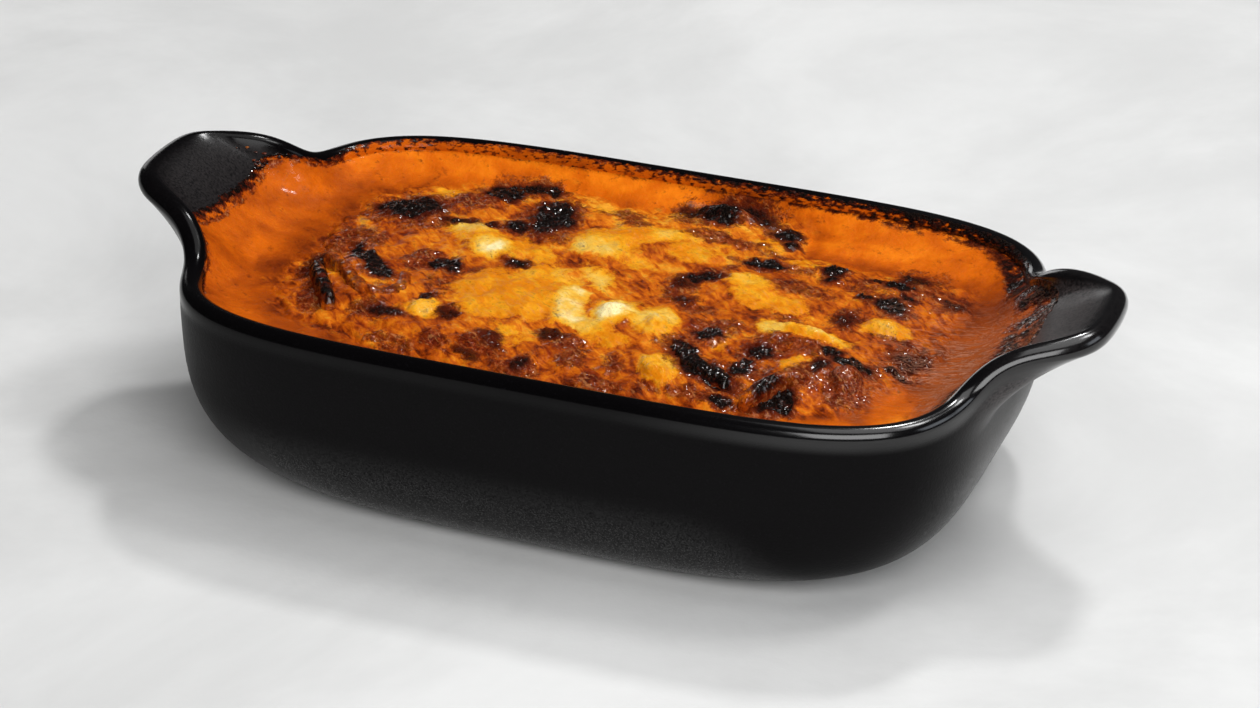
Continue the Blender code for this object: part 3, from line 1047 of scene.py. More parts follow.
    def sheen(self, points: Array) -> Array:
        """How glassy the glaze is: most at the right end, on its ear and round the foot.

        Args:
            points: places on the glaze in mm.

        Returns:
            A share of 0 to 1 for each place.
        """
        x, y, z = points.T
        end = ease(x, self.rim_half_length * 0.80, self.rim_half_length * 0.96)
        end = end * ease(y, -self.rim_half_width * 0.95, -self.rim_half_width * 0.55)
        end = end * ease(z, self.rim_height * 0.80, self.rim_height * 0.35)
        middle = ease(np.abs(x + z * 0.9 - self.rim_half_length * 0.05),
                      self.rim_half_length * 0.75, self.rim_half_length * 0.55)
        foot = ease(z, self.rim_height * 0.55, self.rim_height * 0.30) * middle
        ear = ease(x, self.rim_half_length * 1.01, self.rim_half_length * 1.06)
        far_ear = ease(-x, self.rim_half_length * 1.01, self.rim_half_length * 1.06)
        return np.clip(0.85 * end + foot + 0.35 * ear + 0.05 * far_ear, 0.0, 1.0)

    def build(self) -> bpy.types.Object:
        """Skin the dish as one closed loft.

        Returns:
            The dish.
        """
        angle = self.angles(self.columns)
        climbs = np.concatenate([np.linspace(0, 0.5, self.wall_rings),
                                 np.linspace(0.5, 1.0, self.wall_rings // 2 + 1)[1:]])
        _, _, _, share = self.rim_line(angle)
        rings, rim, ear = [], [], []
        foot, _, _ = self.wall_frame(angle, 0.0)
        for pull in (0.5, 0.9):
            ring = foot * np.array([pull, pull, 0.0])
            rings.append(ring)
            rim.append(0.0)
            ear.append(0.0)
        for climb in climbs:
            point, normal, _ = self.wall_frame(angle, climb)
            rings.append(point + normal * self.wall / 2)
            rim.append(float(ease(np.array(climb), 0.86, 0.99)))
            ear.append(max(0.0, climb * 2 - 1))
        for step in range(1, self.arc_steps):
            bend = math.pi * (1 - step / self.arc_steps)
            rings.append(self.over_rim(angle, np.full(len(angle), bend), np.zeros(len(angle))))
            rim.append(1.0)
            ear.append(1.0)
        for climb in climbs[::-1]:
            rings.append(self.inside(angle, climb))
            rim.append(float(ease(np.array(climb), 0.94, 1.0)))
            ear.append(max(0.0, climb * 2 - 1))
        rings = [np.column_stack([r[:, :2], np.maximum(r[:, 2], 0.0)]) for r in rings]
        builder = MeshBuilder("gratin_dish")
        rows, columns = len(rings), len(angle)
        points = np.concatenate(rings + [np.array([[0, 0, 0.0], [0, 0, self.wall]])])
        marks = {"rim": np.concatenate([np.repeat(rim, columns), [0, 0]]),
                 "ear": np.concatenate([(np.array(ear)[:, None] * share[None, :]).ravel(),
                                        [0, 0]])}
        marks["sheen"] = self.sheen(points)
        across = points[:, 0] / self.rim_half_length
        # Painted reflection: the tops of the ears are painted lighter grey, the right one most, as
        # a sheen would show them.
        marks["painted_sheen"] = ease(across, 1.00, 1.08) + 0.28 * ease(-across, 1.02, 1.10)
        marks["painted_sheen"] = marks["painted_sheen"] * (1 - 0.9 * marks["rim"])
        marks["gloss"] = marks["rim"] * (0.12 + 0.88 * ease(across, 0.2, 0.75))
        builder.add(points, band_faces(rows, columns), marks)
        builder.close_ends(rows, columns)
        return builder.build()


# ---------------------------------------------------------------------------- the food's top
class Look(Enum):
    """What a daub on the baked top is."""

    CHAR = "char"
    BROWN = "brown"
    CHEESE = "cheese"
    PALE = "pale"
    RED = "red"
    # Lightness of sauce and toast: their own tone, with painted light and painted shade.
    TONE_AND_PAINTED_LIGHT = "tone_and_painted_light"
    WET = "wet"
    TOAST = "toast"
    # Painted reflection haze on the sauce's skin at the right end.
    PAINTED_HAZE = "painted_haze"
    SMOOTH = "smooth"


@dataclass(frozen=True)
class Daub:
    """One soft-edged patch of a look on the baked top. Sizes are in millimetres."""

    look: Look
    x: float
    y: float
    long: float
    wide: float
    turn: float = 0.0
    strength: float = 1.0
    rise: float = 0.0


# Where each look lies: middle, half sizes, turn in degrees, strength and rise, in mm.
DAUBS: dict[Look, tuple[tuple[float, ...], ...]] = {
    Look.CHAR: (
        (-62, 22, 7.6, 6.4, 0, 1.4, 0.2), (-45, 41, 5.4, 5.8, 0, 1.25, 0.1),
        (-37.5, 45.5, 5, 4.6, 0, 1.3, 0.1), (-42, 36.5, 2.6, 3.4, 0, 0.7, 0),
        (-27.5, 28.5, 5, 8.6, 5, 1.35, 0.3), (-33, 20, 3.2, 3, 20, 0.95, 0.1),
        # The daub at (-48, 18.5) is painted shadow, a thin dark arc under the cheese.
        (-48, 18.5, 4.6, 1.7, 20, 0.8, 0), (-39.5, 19.5, 2.4, 2, 0, 0.75, 0),
        (-58.5, -10.6, 10.6, 2.3, -51, 1.5, -0.2), (-52.5, -17.5, 3, 2.4, -40, 1.2, 0.1),
        (-41, -5, 3.4, 2.8, -30, 1.3, 0.4), (-25, 0.5, 3, 2.2, 10, 0.85, 0.1),
        (-44.5, -33, 4.6, 2.6, 0, 0.75, 0), (-30, -29, 2.4, 2.4, 0, 0.65, 0.1),
        (-37.5, -23, 2, 2.4, 0, 0.75, 0.1), (-16, -37.5, 5, 2.2, -40, 0.58, 0.2),
        (-18.5, -43.5, 4, 1.4, -28, 0.5, 0.1), (-5.5, -44.5, 2.2, 3.6, 0, 0.75, 0.4),
        # The daub at (-71, -14) is painted shadow along the left side of the pasta strips.
        (-3.5, -31, 3.8, 2, -24, 0.6, 0.4), (-71, -14, 2.4, 7, 8, 0.7, 0),
        (10, 44.5, 4.6, 4, 0, 1.05, 0.1), (14, 51, 7.4, 4.4, -5, 0.8, 0.2),
        (3, 46.5, 4, 4.6, 0, 0.75, 0.1), (20, 47.5, 4.6, 3.4, -20, 0.75, 0.1),
        (27.5, 43, 3.2, 3.6, -20, 1.1, 0.2), (31, 38, 1.8, 2, 0, 0.95, 0.2),
        (29.5, 23.5, 5.6, 2.2, 0, 1.15, 0.3), (45.5, 26, 2.8, 3, 0, 1, 0.3),
        (46.5, 21, 2.2, 2, 0, 0.8, 0.1), (18.5, 11, 4.6, 2.4, 25, 0.9, 0),
        (14, 5.5, 2.6, 2.8, 0, 0.6, 0), (18, -1.5, 3, 2.4, 0, 0.6, 0), (64, 31, 5, 4.6, 0, 0.7, 0),
        (62.5, 23.5, 3.2, 2.8, 0, 0.95, 0.1), (66, 18, 2.4, 2.2, 0, 0.9, 0.1),
        (56.5, 25, 2.4, 1.6, 0, 0.75, 0), (63.5, 12.5, 4, 2.8, -10, 1.1, 0.3),
        (57.5, 15, 2.4, 2, 0, 0.95, 0.1), (76, 21, 3.6, 2.6, 0, 0.6, 0),
        (55.5, 2.5, 3.2, 3.6, 0, 0.65, 0), (75, -9, 4.4, 4.6, 10, 0.64, 0.1),
        (74, -15.5, 4, 1.8, -10, 0.85, 0), (30, -17, 3.6, 2.8, -10, 1.15, 0.3),
        (44, -20.5, 3.4, 2.4, 0, 0.85, 0.1), (26.5, -26, 2.8, 4.4, 25, 1.25, 0.3),
        (35.5, -35, 7, 2.6, -20, 1.25, 0.2), (33, -31.5, 9, 2.8, -32, 1.25, 0.1),
        (42, -28, 2, 4.2, 10, 1.1, 0.3), (64.5, -18.5, 5.2, 2, -12, 1.2, 0.3),
        # The daub at (58.5, -23.5) is painted shadow at the front right of the bed.
        (58.5, -15.5, 2.8, 1.8, -10, 0.95, 0.1), (58.5, -23.5, 1.8, 4.6, 0, 0.8, 0),
        (53, -39, 3.8, 4.4, 0, 1.3, -0.8), (42, -43, 3, 1.8, 0, 0.9, 0)),
    Look.BROWN: (
        # The daub at (-71, -6) is painted shade beside the pasta fold on the left.
        (-66, 3, 9, 5, -38, 0.85, 0.5), (-71, -6, 3.6, 9, 8, 0.8, 0),
        (-64, -30, 3.2, 8, 35, 0.85, 0), (-49, 31.5, 6.6, 6, 0, 0.85, 0.5),
        (-41, 41, 8, 6, 0, 0.7, 0.1), (-56, 16, 7, 5, 0, 0.85, 0.2), (-26, 38, 4, 4, 0, 0.6, 0.1),
        (-24, 20, 6, 6, 0, 0.7, 0.1), (-48, -5, 4.4, 6.6, 0, 0.95, 0.2),
        (-38.5, -15, 4.4, 5.4, 0, 0.6, 0), (-46, -33, 8, 4.4, 0, 0.8, 0.1),
        (-38, -43, 8, 2.6, -8, 0.75, 0.2), (-27, -41, 5.4, 2.6, -25, 0.8, 0.3),
        (-17, -38, 6, 4.8, -40, 0.8, 0.3), (-6, -45.5, 5.8, 3.6, 0, 0.85, 0.4),
        (0.5, -32, 6.4, 3.4, -20, 0.9, 0.5), (4.5, -38.5, 3.6, 4, 30, 0.85, 0.3),
        (14, -37.5, 3.2, 5, 20, 0.8, 0.2), (14, -46, 7, 2.8, 0, 0.85, 0.3),
        (-12.5, 38.5, 6, 4.6, 0, 0.8, 0.2), (-7, 33.5, 4, 3.4, 0, 0.7, 0.1),
        (15, 33, 11, 3.6, -8, 0.85, 0.2), (6, 41, 8, 4, 0, 0.7, 0.1),
        (27, 31, 7, 3, -10, 0.65, 0.1), (37, 22.5, 6, 3, -10, 0.7, 0.1),
        (41, 13.5, 11, 3.8, -8, 0.75, 0.2), (14.5, 3.5, 4.6, 8, 0, 0.8, 0.1),
        (22, 18, 3, 3.6, 0, 0.7, 0.1), (22, -5.5, 5.6, 3, -10, 0.8, 0.1),
        (30, -11.5, 6.4, 3.6, 0, 0.8, 0.2), (45, -16, 6.6, 5.6, 0, 0.8, 0.3),
        (56, -16.5, 9, 3.6, -8, 0.85, 0.2), (66, -29, 5.6, 7.6, 10, 0.95, 0.4),
        (56, -29, 4.6, 6.6, 0, 0.8, 0.1), (75, -8, 5.4, 8, 0, 0.75, 0.1),
        (66, 29, 7.4, 9.4, 0, 0.75, 0.1), (75, 22, 6, 6.4, 0, 0.7, 0.1),
        (56, 21, 8, 5, 0, 0.65, 0.1), (55.5, 3.5, 4.6, 5.6, 0, 0.8, 0.1),
        (44, -3, 6, 2, 0, 0.7, 0), (34, -43, 6, 3, 0, 0.8, 0.2), (47, -30.5, 3, 4, 0, 0.7, 0),
        (68, -2, 4, 1.6, -20, 0.7, 0), (25, -44.5, 4, 2.4, 0, 0.65, 0.1),
        (-55, -42, 5, 2, -12, 0.5, 0)),
    Look.CHEESE: (
        (-43.5, 14.5, 7, 5.6, -20, 1, 0.3), (-34, 6, 7.4, 5.4, -20, 1.05, 0.5),
        (-38.5, 10.5, 9, 5.4, -38, 0.95, 0.2), (-9, 19.5, 8.6, 8.6, 10, 1, 0.3),
        (-12.5, 16, 6, 5, 0, 0.9, 0.2), (2, 29.5, 6.4, 5.6, 0, 1, 0.3),
        (-24, 9, 10, 4, -30, 0.75, 0.1), (10.5, 22.5, 6, 6, -20, 0.85, 0.2),
        (-21, -16, 14.5, 12, -20, 1.05, 0.5), (-14, -6, 14, 7, -40, 0.9, 0.2),
        (-15, -4, 6.4, 4, -20, 0.9, 0.2), (-5, 2, 8, 4, -42, 0.8, 0.1),
        (-6.5, -10, 4, 6, 20, 1, 0.2), (-3.5, -20, 4.4, 6, 20, 1, 0.2),
        (3.5, -23.5, 6, 4, -20, 0.95, 0.2), (10, -27.5, 6, 3, -10, 0.85, 0.1),
        (6.5, -15, 5.4, 7.6, 0, 1.15, 0.3), (16, -15.5, 5.6, 7.6, 10, 1.1, 0.3),
        (30, 11, 7.6, 5, -10, 0.95, 0.3), (37, 4, 11, 4.6, -8, 0.85, 0.2),
        (42.5, -9, 4.8, 4.4, -30, 1.05, 0.3), (55, -9, 6.6, 3, -8, 1, 0.3),
        (66, 2, 5.4, 4.2, -15, 1.15, 0.4), (25.5, -36, 4.6, 5.8, 25, 1.05, 0.3),
        (-36, -29, 4.8, 4.4, 0, 0.95, 0.3), (-57.5, 34.5, 5, 4.6, 0, 0.85, 0.2),
        (-63, 31, 4, 3.4, 0, 0.6, 0.1), (52, -24.5, 2.8, 4, 15, 0.9, 0.2),
        (38.5, 28, 4.4, 3, 0, 0.75, 0.1), (27, 35, 4, 3.4, 0, 0.7, 0.1),
        (-17, 38, 3.4, 4, 20, 0.7, 0.1), (-2, 13, 8, 3.4, -20, 0.65, 0.1),
        (17, 27, 4, 3, 0, 0.6, 0), (-12, -34, 4, 4, 30, 0.75, 0.1),
        (34, -20, 2.6, 2.4, 0, 0.6, 0.1), (-65, -19.5, 2, 6, 38, 0.45, 0)),
    Look.PALE: (
        (-43, 15.5, 6, 4.4, -20, 0.42), (-34, 6, 5, 4, -20, 0.6), (-33, 5.5, 2, 1.8, 0, 0.5),
        (-11, 16, 6, 6, 10, 0.38), (2, 30, 4.4, 3.4, 0, 0.3), (-6.5, -10, 3.4, 5, 20, 0.45),
        (-4.5, -18, 3.6, 5, 20, 0.55), (1, -23, 5.6, 3.4, -20, 0.45), (6, -15, 4.6, 6, 0, 0.62),
        (5.5, -17.5, 2, 4, -10, 0.55), (16, -15, 4.6, 6, 10, 0.45),
        (42, -8.5, 3.6, 3.6, -30, 0.45), (55, -9, 5.6, 2.2, -8, 0.4), (29, 12, 5, 3.4, 0, 0.2),
        (-5, 2, 7, 2.6, -42, 0.4), (-36, -28.5, 3.4, 3.2, 0, 0.3), (25, -36, 3.6, 4.6, 25, 0.22),
        (-78, 56, 3, 2, 20, 0.5), (66, 2, 4, 3, -15, 0.25), (-10, -2, 9, 3.4, -42, 0.25)),
    Look.RED: (
        (13, 50, 11, 7, -5, 1), (-52, 29, 7, 6, 0, 0.7), (-40, 42, 9, 6, 0, 0.6),
        (-64, -29, 4, 7, 35, 0.9), (-53, -12, 8, 6, -45, 0.6), (45, -19, 8, 5, 0, 0.75),
        (29, -14, 7, 5, 0, 0.7), (2, -36, 5, 5, 0, 0.6), (14, -43, 6, 4, 0, 0.6),
        (-18, -40, 6, 4, 0, 0.6), (62, -28, 9, 9, 0, 0.7), (-42, -38, 8, 5, 0, 0.5),
        (36, 18, 12, 3, -10, 0.5), (-27, -41, 6, 3, 0, 0.55), (-5, -45, 6, 3, 0, 0.55),
        (-47, -4, 5, 6, 0, 0.7), (-62, 10, 8, 5, -30, 0.5)),
    Look.WET: (
        (13, 50, 12, 8, -5, 1), (-51, 29, 8, 7, 0, 1), (-28, 30, 5, 9, 0, 0.8),
        (-60, -18, 13, 10, -45, 0.9), (50, -26, 14, 10, 0, 0.9), (6, -15, 7, 8, 0, 0.6),
        (45, -19, 9, 5, 0, 0.9), (2, -36, 7, 7, 0, 0.8), (-22, 49, 8, 2.4, 10, 1),
        (30, 22, 8, 4, 0, 0.9), (30, -16, 6, 5, 0, 0.9), (-41, -5, 5, 4, 0, 1),
        (30, 38, 4, 4, 0, 0.9), (14, -44, 8, 4, 0, 0.7)),
    Look.SMOOTH: (
        (66, -46, 15, 6, 8, 1), (78, -33, 5.4, 14, 0, 1), (45, -50, 12, 3, 3, 0.9),
        (72, 42, 8, 6, 0, 1), (50, 38, 10, 7, 0, 1), (36, 46, 5, 6, 0, 0.9))}


@dataclass
class BakedTop:
    """Height and looks of the food over the whole inside of the dish."""

    dish: GratinDish
    sauce_drop: float = 4.0
    bed_drop: float = 3.0
    crown: float = 1.6
    bank_power: float = 2.6
    sauce_climb: float = 0.50
    sink: float = 1.4
    shift: float = 1.3
    shift_size: float = 7.0
    daub_reach: float = 1.45
    daub_fade: float = 0.95
    halo_reach: float = 2.3
    halo_fade: float = 1.3
    halo_strength: float = 0.9
    lump_height: float = 0.55
    lump_size: float = 6.5
    crumb_height: float = 0.30
    crumb_size: float = 2.8
    grit_height: float = 0.34
    grit_size: float = 2.1
    strand_height: float = 0.22
    strand_size: float = 1.9
    daub_rise: float = 0.9
    outline: tuple = (
        (0, 0.90), (12, 0.90), (22, 0.89), (33, 0.70), (44, 0.66), (58, 0.90),
        (66, 0.96), (82, 0.96), (94, 0.86), (108, 0.85), (125, 0.90), (142, 0.82),
        (158, 0.86), (178, 0.87), (192, 0.87), (203, 0.85), (216, 0.82), (232, 0.86),
        (255, 0.92), (285, 0.93), (308, 0.90), (320, 0.84), (334, 0.84), (346, 0.88))
    swells: tuple = (
        (-57, -20, 16, 11, -45, 2.8), (-63, 18, 11, 9, 20, 1.4), (-36, 8, 13, 9, -25, 1.4),
        (-42, 36, 16, 8, 5, 0.9), (-18, -17, 15, 13, -10, 1.2), (-4, 22, 16, 10, 15, 1.2),
        (12, 46, 12, 8, -10, 1.2), (12, -19, 13, 10, -10, 1.6), (-28, -38, 16, 8, 0, 1.0),
        (26, -38, 12, 7, -35, 1.4), (32, 8, 14, 9, -15, 1.4), (50, -12, 14, 6, -5, 1.8),
        (60, -28, 12, 10, 15, 2.2), (66, 18, 12, 9, 30, 1.2), (44, 26, 10, 5, 0, 1.0))

    def __post_init__(self) -> None:
        """Lay the daubs and measure the outlines."""
        self.level = self.dish.rim_height - self.sauce_drop
        self.bed_edge = self.dish.rim_height - self.bed_drop
        angle = np.linspace(0, 2 * math.pi, 1441)
        inner = self.dish.inside(angle, 1.0)[:, :2]
        limit = self.dish.rim_half_length - self.dish.wall / 2
        inner[:, 0] = np.clip(inner[:, 0], -limit, limit)
        direction = np.unwrap(np.arctan2(inner[:, 1], inner[:, 0]))
        self.directions = direction
        self.wall_radius = np.hypot(inner[:, 0], inner[:, 1])
        self.daubs = [Daub(look, *row) for look, rows in DAUBS.items() for row in rows]

    def share(self, direction: Array) -> Array:
        """Share of the way to the wall at which the bed ends, by direction in radians.

        Args:
            direction: directions from the middle, in radians.

        Returns:
            One share for each direction.
        """
        degrees = np.degrees(direction) % 360.0
        stops = list(self.outline) + [(360.0, self.outline[0][1])]
        share = np.zeros_like(degrees)
        for (a, low), (b, high) in zip(stops[:-1], stops[1:]):
            within = (degrees >= a) & (degrees <= b)
            share = np.where(within, low + (high - low) * ease((degrees - a) / (b - a)), share)
        return share

    def reach(self, x: Array, y: Array) -> tuple[Array, Array]:
        """How far out places lie.

        Args:
            x: places along X in mm.
            y: places along Y in mm.

        Returns:
            Share of the way to the bed's outline, and share of the way to the wall.
        """
        direction = np.arctan2(y, x)
        first = self.directions[0]
        turned = (direction - first) % (2 * math.pi) + first
        wall = np.interp(turned, self.directions, self.wall_radius)
        to_wall = np.hypot(x, y) / wall
        return to_wall / self.share(direction), to_wall

    def wander(self, x: Array, y: Array) -> tuple[Array, Array]:
        """Places shifted a little, so that daubs and edges aren't plain ovals.

        Args:
            x: places along X in mm.
            y: places along Y in mm.

        Returns:
            The shifted places.
        """
        shift_x = self.shift * WAVES.layers(x, y, self.shift_size, 3, 0.6)
        shift_y = self.shift * WAVES.layers(x + 50, y - 80, self.shift_size, 3, 0.6)
        return x + shift_x, y + shift_y

    def bed(self, x: Array, y: Array) -> Array:
        """Height of the bed's own top, which sinks under the sauce past its outline.

        Args:
            x: places along X in mm.
            y: places along Y in mm.

        Returns:
            Heights in mm.
        """
        reach, _ = self.reach(x, y)
        wobble = 0.05 * WAVES.layers(x, y, 9.0, 3, 0.6)
        edge = ease(1.06 - reach + wobble, 0.0, 0.16)
        height = self.crown * (1 - np.minimum(reach, 1.0) ** 4)
        for cx, cy, long, wide, turn, rise in self.swells:
            u, v = in_oval(x, y, (cx, cy), (long, wide), turn)
            height = height + rise * np.exp(-(u * u + v * v))
        body = self.bed_edge + height * ease((1 - reach) * 4)
        return (self.level - self.sink) + (body - self.level + self.sink) * edge

    def looks(self, x: Array, y: Array) -> dict[str, Array]:
        """Strength of every look at the given places.

        Args:
            x: places along X in mm.
            y: places along Y in mm.

        Returns:
            A strength for each place, by the look's name.
        """
        wx, wy = self.wander(x, y)
        found = {look.value: np.zeros(np.shape(x)) for look in Look}
        found["rise"] = np.zeros(np.shape(x))
        for daub in self.daubs:
            off = np.hypot(*in_oval(wx, wy, (daub.x, daub.y), (daub.long, daub.wide),
                                    daub.turn))
            spot = ease(self.daub_reach - off, 0.0, self.daub_fade)
            if daub.look is Look.CHAR:
                halo = ease(self.halo_reach - off, 0.0, self.halo_fade)
                halo = halo * min(daub.strength, 1.0) * self.halo_strength
                found["brown"] = np.maximum(found["brown"], halo)
            name = daub.look.value
            if daub.look is Look.PALE:
                found[name] = found[name] + spot * daub.strength
            else:
                found[name] = np.maximum(found[name], spot * daub.strength)
            found["rise"] = found["rise"] + spot * daub.rise
        reach, to_wall = self.reach(x, y)
        left = ease(-x, 30, 90)
        right = ease(x, 55, 88)
        back = ease(y, 20, 52)
        smooth = np.clip(found["smooth"], 0, 1)
        # Lightness of the sauce and toast: partly their own tone and partly painted light. The back
        # bank is painted lighter, as where light falls on it, and a ring round the bed's edge is
        # painted shade. The right end is darker, and smooth sauce at the front is lighter.
        tone_and_painted_light = (0.42 + 0.03 * left * ease(to_wall, 0.70, 0.93)
                  + 0.34 * back * (1 - 0.22 * left))
        tone_and_painted_light = tone_and_painted_light + 0.10 * ease(np.hypot(x, y - 5) / 70, 1.0, 0.2)
        tone_and_painted_light = tone_and_painted_light + 0.46 * smooth * ease(-y, 15, 35)
        tone_and_painted_light = (tone_and_painted_light - 0.16 * right * ease(y, -48, -18)
                  - 0.24 * ease(reach, 1.12, 1.0) * ease(reach, 0.9, 1.0))
        found["tone_and_painted_light"] = np.clip(tone_and_painted_light, 0.0, 1.0)
        found["wet"] = np.maximum(found["wet"], 0.15 * left)
        toast = ease(1.03 - reach + 0.05 * WAVES.layers(wx, wy, 5.0, 3), 0.0, 0.10)
        found["toast"] = toast * (1 - smooth)
        # Painted reflection haze: the sauce's skin at the right end is greyed, as a sheen over it
        # would show.
        found["painted_haze"] = (right * ease(-y, -35, 10) * ease(y, -58, -22)
                         * (1 - 0.85 * smooth))
        return found

    def relief(self, x: Array, y: Array, looks: dict[str, Array]) -> Array:
        """Fine relief of the top, in mm above its general height.

        Args:
            x: places along X in mm.
            y: places along Y in mm.
            looks: the looks at those places.

        Returns:
            Heights in mm.
        """
        lumpy = self.lump_height * WAVES.layers(x, y, self.lump_size, 3, 0.5)
        crust = np.clip(looks["brown"] + looks["char"], 0, 1.2)
        crests = WAVES.ridges(x * 0.9 + y * 0.3, y, self.crumb_size, 3) - 0.45
        grit = self.grit_height * WAVES.layers(x + 7, y - 3, self.grit_size, 2, 0.6)
        crumbs = self.crumb_height * crests * crust + grit * crust
        along, across = (x * 0.8 - y * 0.6) / 2.6, (x * 0.6 + y * 0.8) * 1.3
        strands = self.strand_height * WAVES.layers(along, across, self.strand_size, 2)
        strands = strands * np.clip(looks["cheese"] + 0.6 * looks["brown"], 0, 1)
        return lumpy + crumbs + strands + looks["rise"] * self.daub_rise

    def top(self, x: Array, y: Array) -> tuple[Array, dict[str, Array]]:
        """Full height of the bed's top and its looks.

        Args:
            x: places along X in mm.
            y: places along Y in mm.

        Returns:
            Heights in mm, and the looks.
        """
        looks = self.looks(x, y)
        reach, _ = self.reach(x, y)
        calm = ease(1.08 - reach, 0.0, 0.12) * (1 - 0.8 * np.clip(looks["smooth"], 0, 1))
        return self.bed(x, y) + self.relief(x, y, looks) * calm, looks


# ---------------------------------------------------------------------------- food pieces
@dataclass
class FoodPiece:
    """Base of every piece of food: it knows the top that it lies on."""

    top: BakedTop

    @staticmethod
    def marks(looks: dict[str, Array]) -> dict[str, Array]:
        """The looks that the finish reads, flattened."""
        return {look.value: np.clip(looks[look.value], 0, 1.5).ravel() for look in Look}


@dataclass
class PastaBed(FoodPiece):
    """The mass of pasta under its browned top."""

    step: float = 0.42
    floor: float = 36.0
    overlap: float = 1.07
    margin: float = 6.0
    wall_share: float = 0.985

    def build(self) -> bpy.types.Object:
        """Lay a fine grid over the bed and close it below.

        Returns:
            The bed.
        """
        low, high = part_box("pasta_bed")
        xs = np.arange(low.x / MM - self.margin, high.x / MM + self.margin, self.step)
        ys = np.arange(low.y / MM - self.margin, high.y / MM + self.margin, self.step)
        x, y = np.meshgrid(xs, ys)
        reach, to_wall = self.top.reach(x, y)
        height, looks = self.top.top(x, y)
        inside = (reach < self.overlap) & (to_wall < self.wall_share)
        keep = inside[:-1, :-1] & inside[1:, :-1] & inside[:-1, 1:] & inside[1:, 1:]
        index = np.arange(x.size).reshape(x.shape)
        quads = patch_faces(index, keep)
        used, inverse = np.unique(quads, return_inverse=True)
        points = np.column_stack([x.ravel(), y.ravel(), height.ravel()])[used]
        marks = {name: values[used] for name, values in self.marks(looks).items()}
        builder = MeshBuilder("pasta_bed_top")
        builder.add(points, inverse.reshape(-1, 4), marks)
        return self.close(builder)

    def close(self, builder: MeshBuilder) -> bpy.types.Object:
        """Carry the open edge down to the floor and fill it.

        Args:
            builder: the mesh whose top is made.

        Returns:
            The closed object.
        """
        piece = builder.build()
        bm = bmesh.new()
        bm.from_mesh(piece.data)
        rim = [edge for edge in bm.edges if edge.is_boundary]
        made = bmesh.ops.extrude_edge_only(bm, edges=rim)["geom"]
        for vert in (item for item in made if isinstance(item, bmesh.types.BMVert)):
            vert.co.z = self.floor * MM
        bmesh.ops.holes_fill(bm, edges=[e for e in bm.edges if e.is_boundary], sides=0)
        bmesh.ops.triangulate(bm, faces=[f for f in bm.faces if len(f.verts) > 4])
        bmesh.ops.recalc_face_normals(bm, faces=bm.faces)
        bm.to_mesh(piece.data)
        bm.free()
        piece.data.shade_smooth()
        return piece


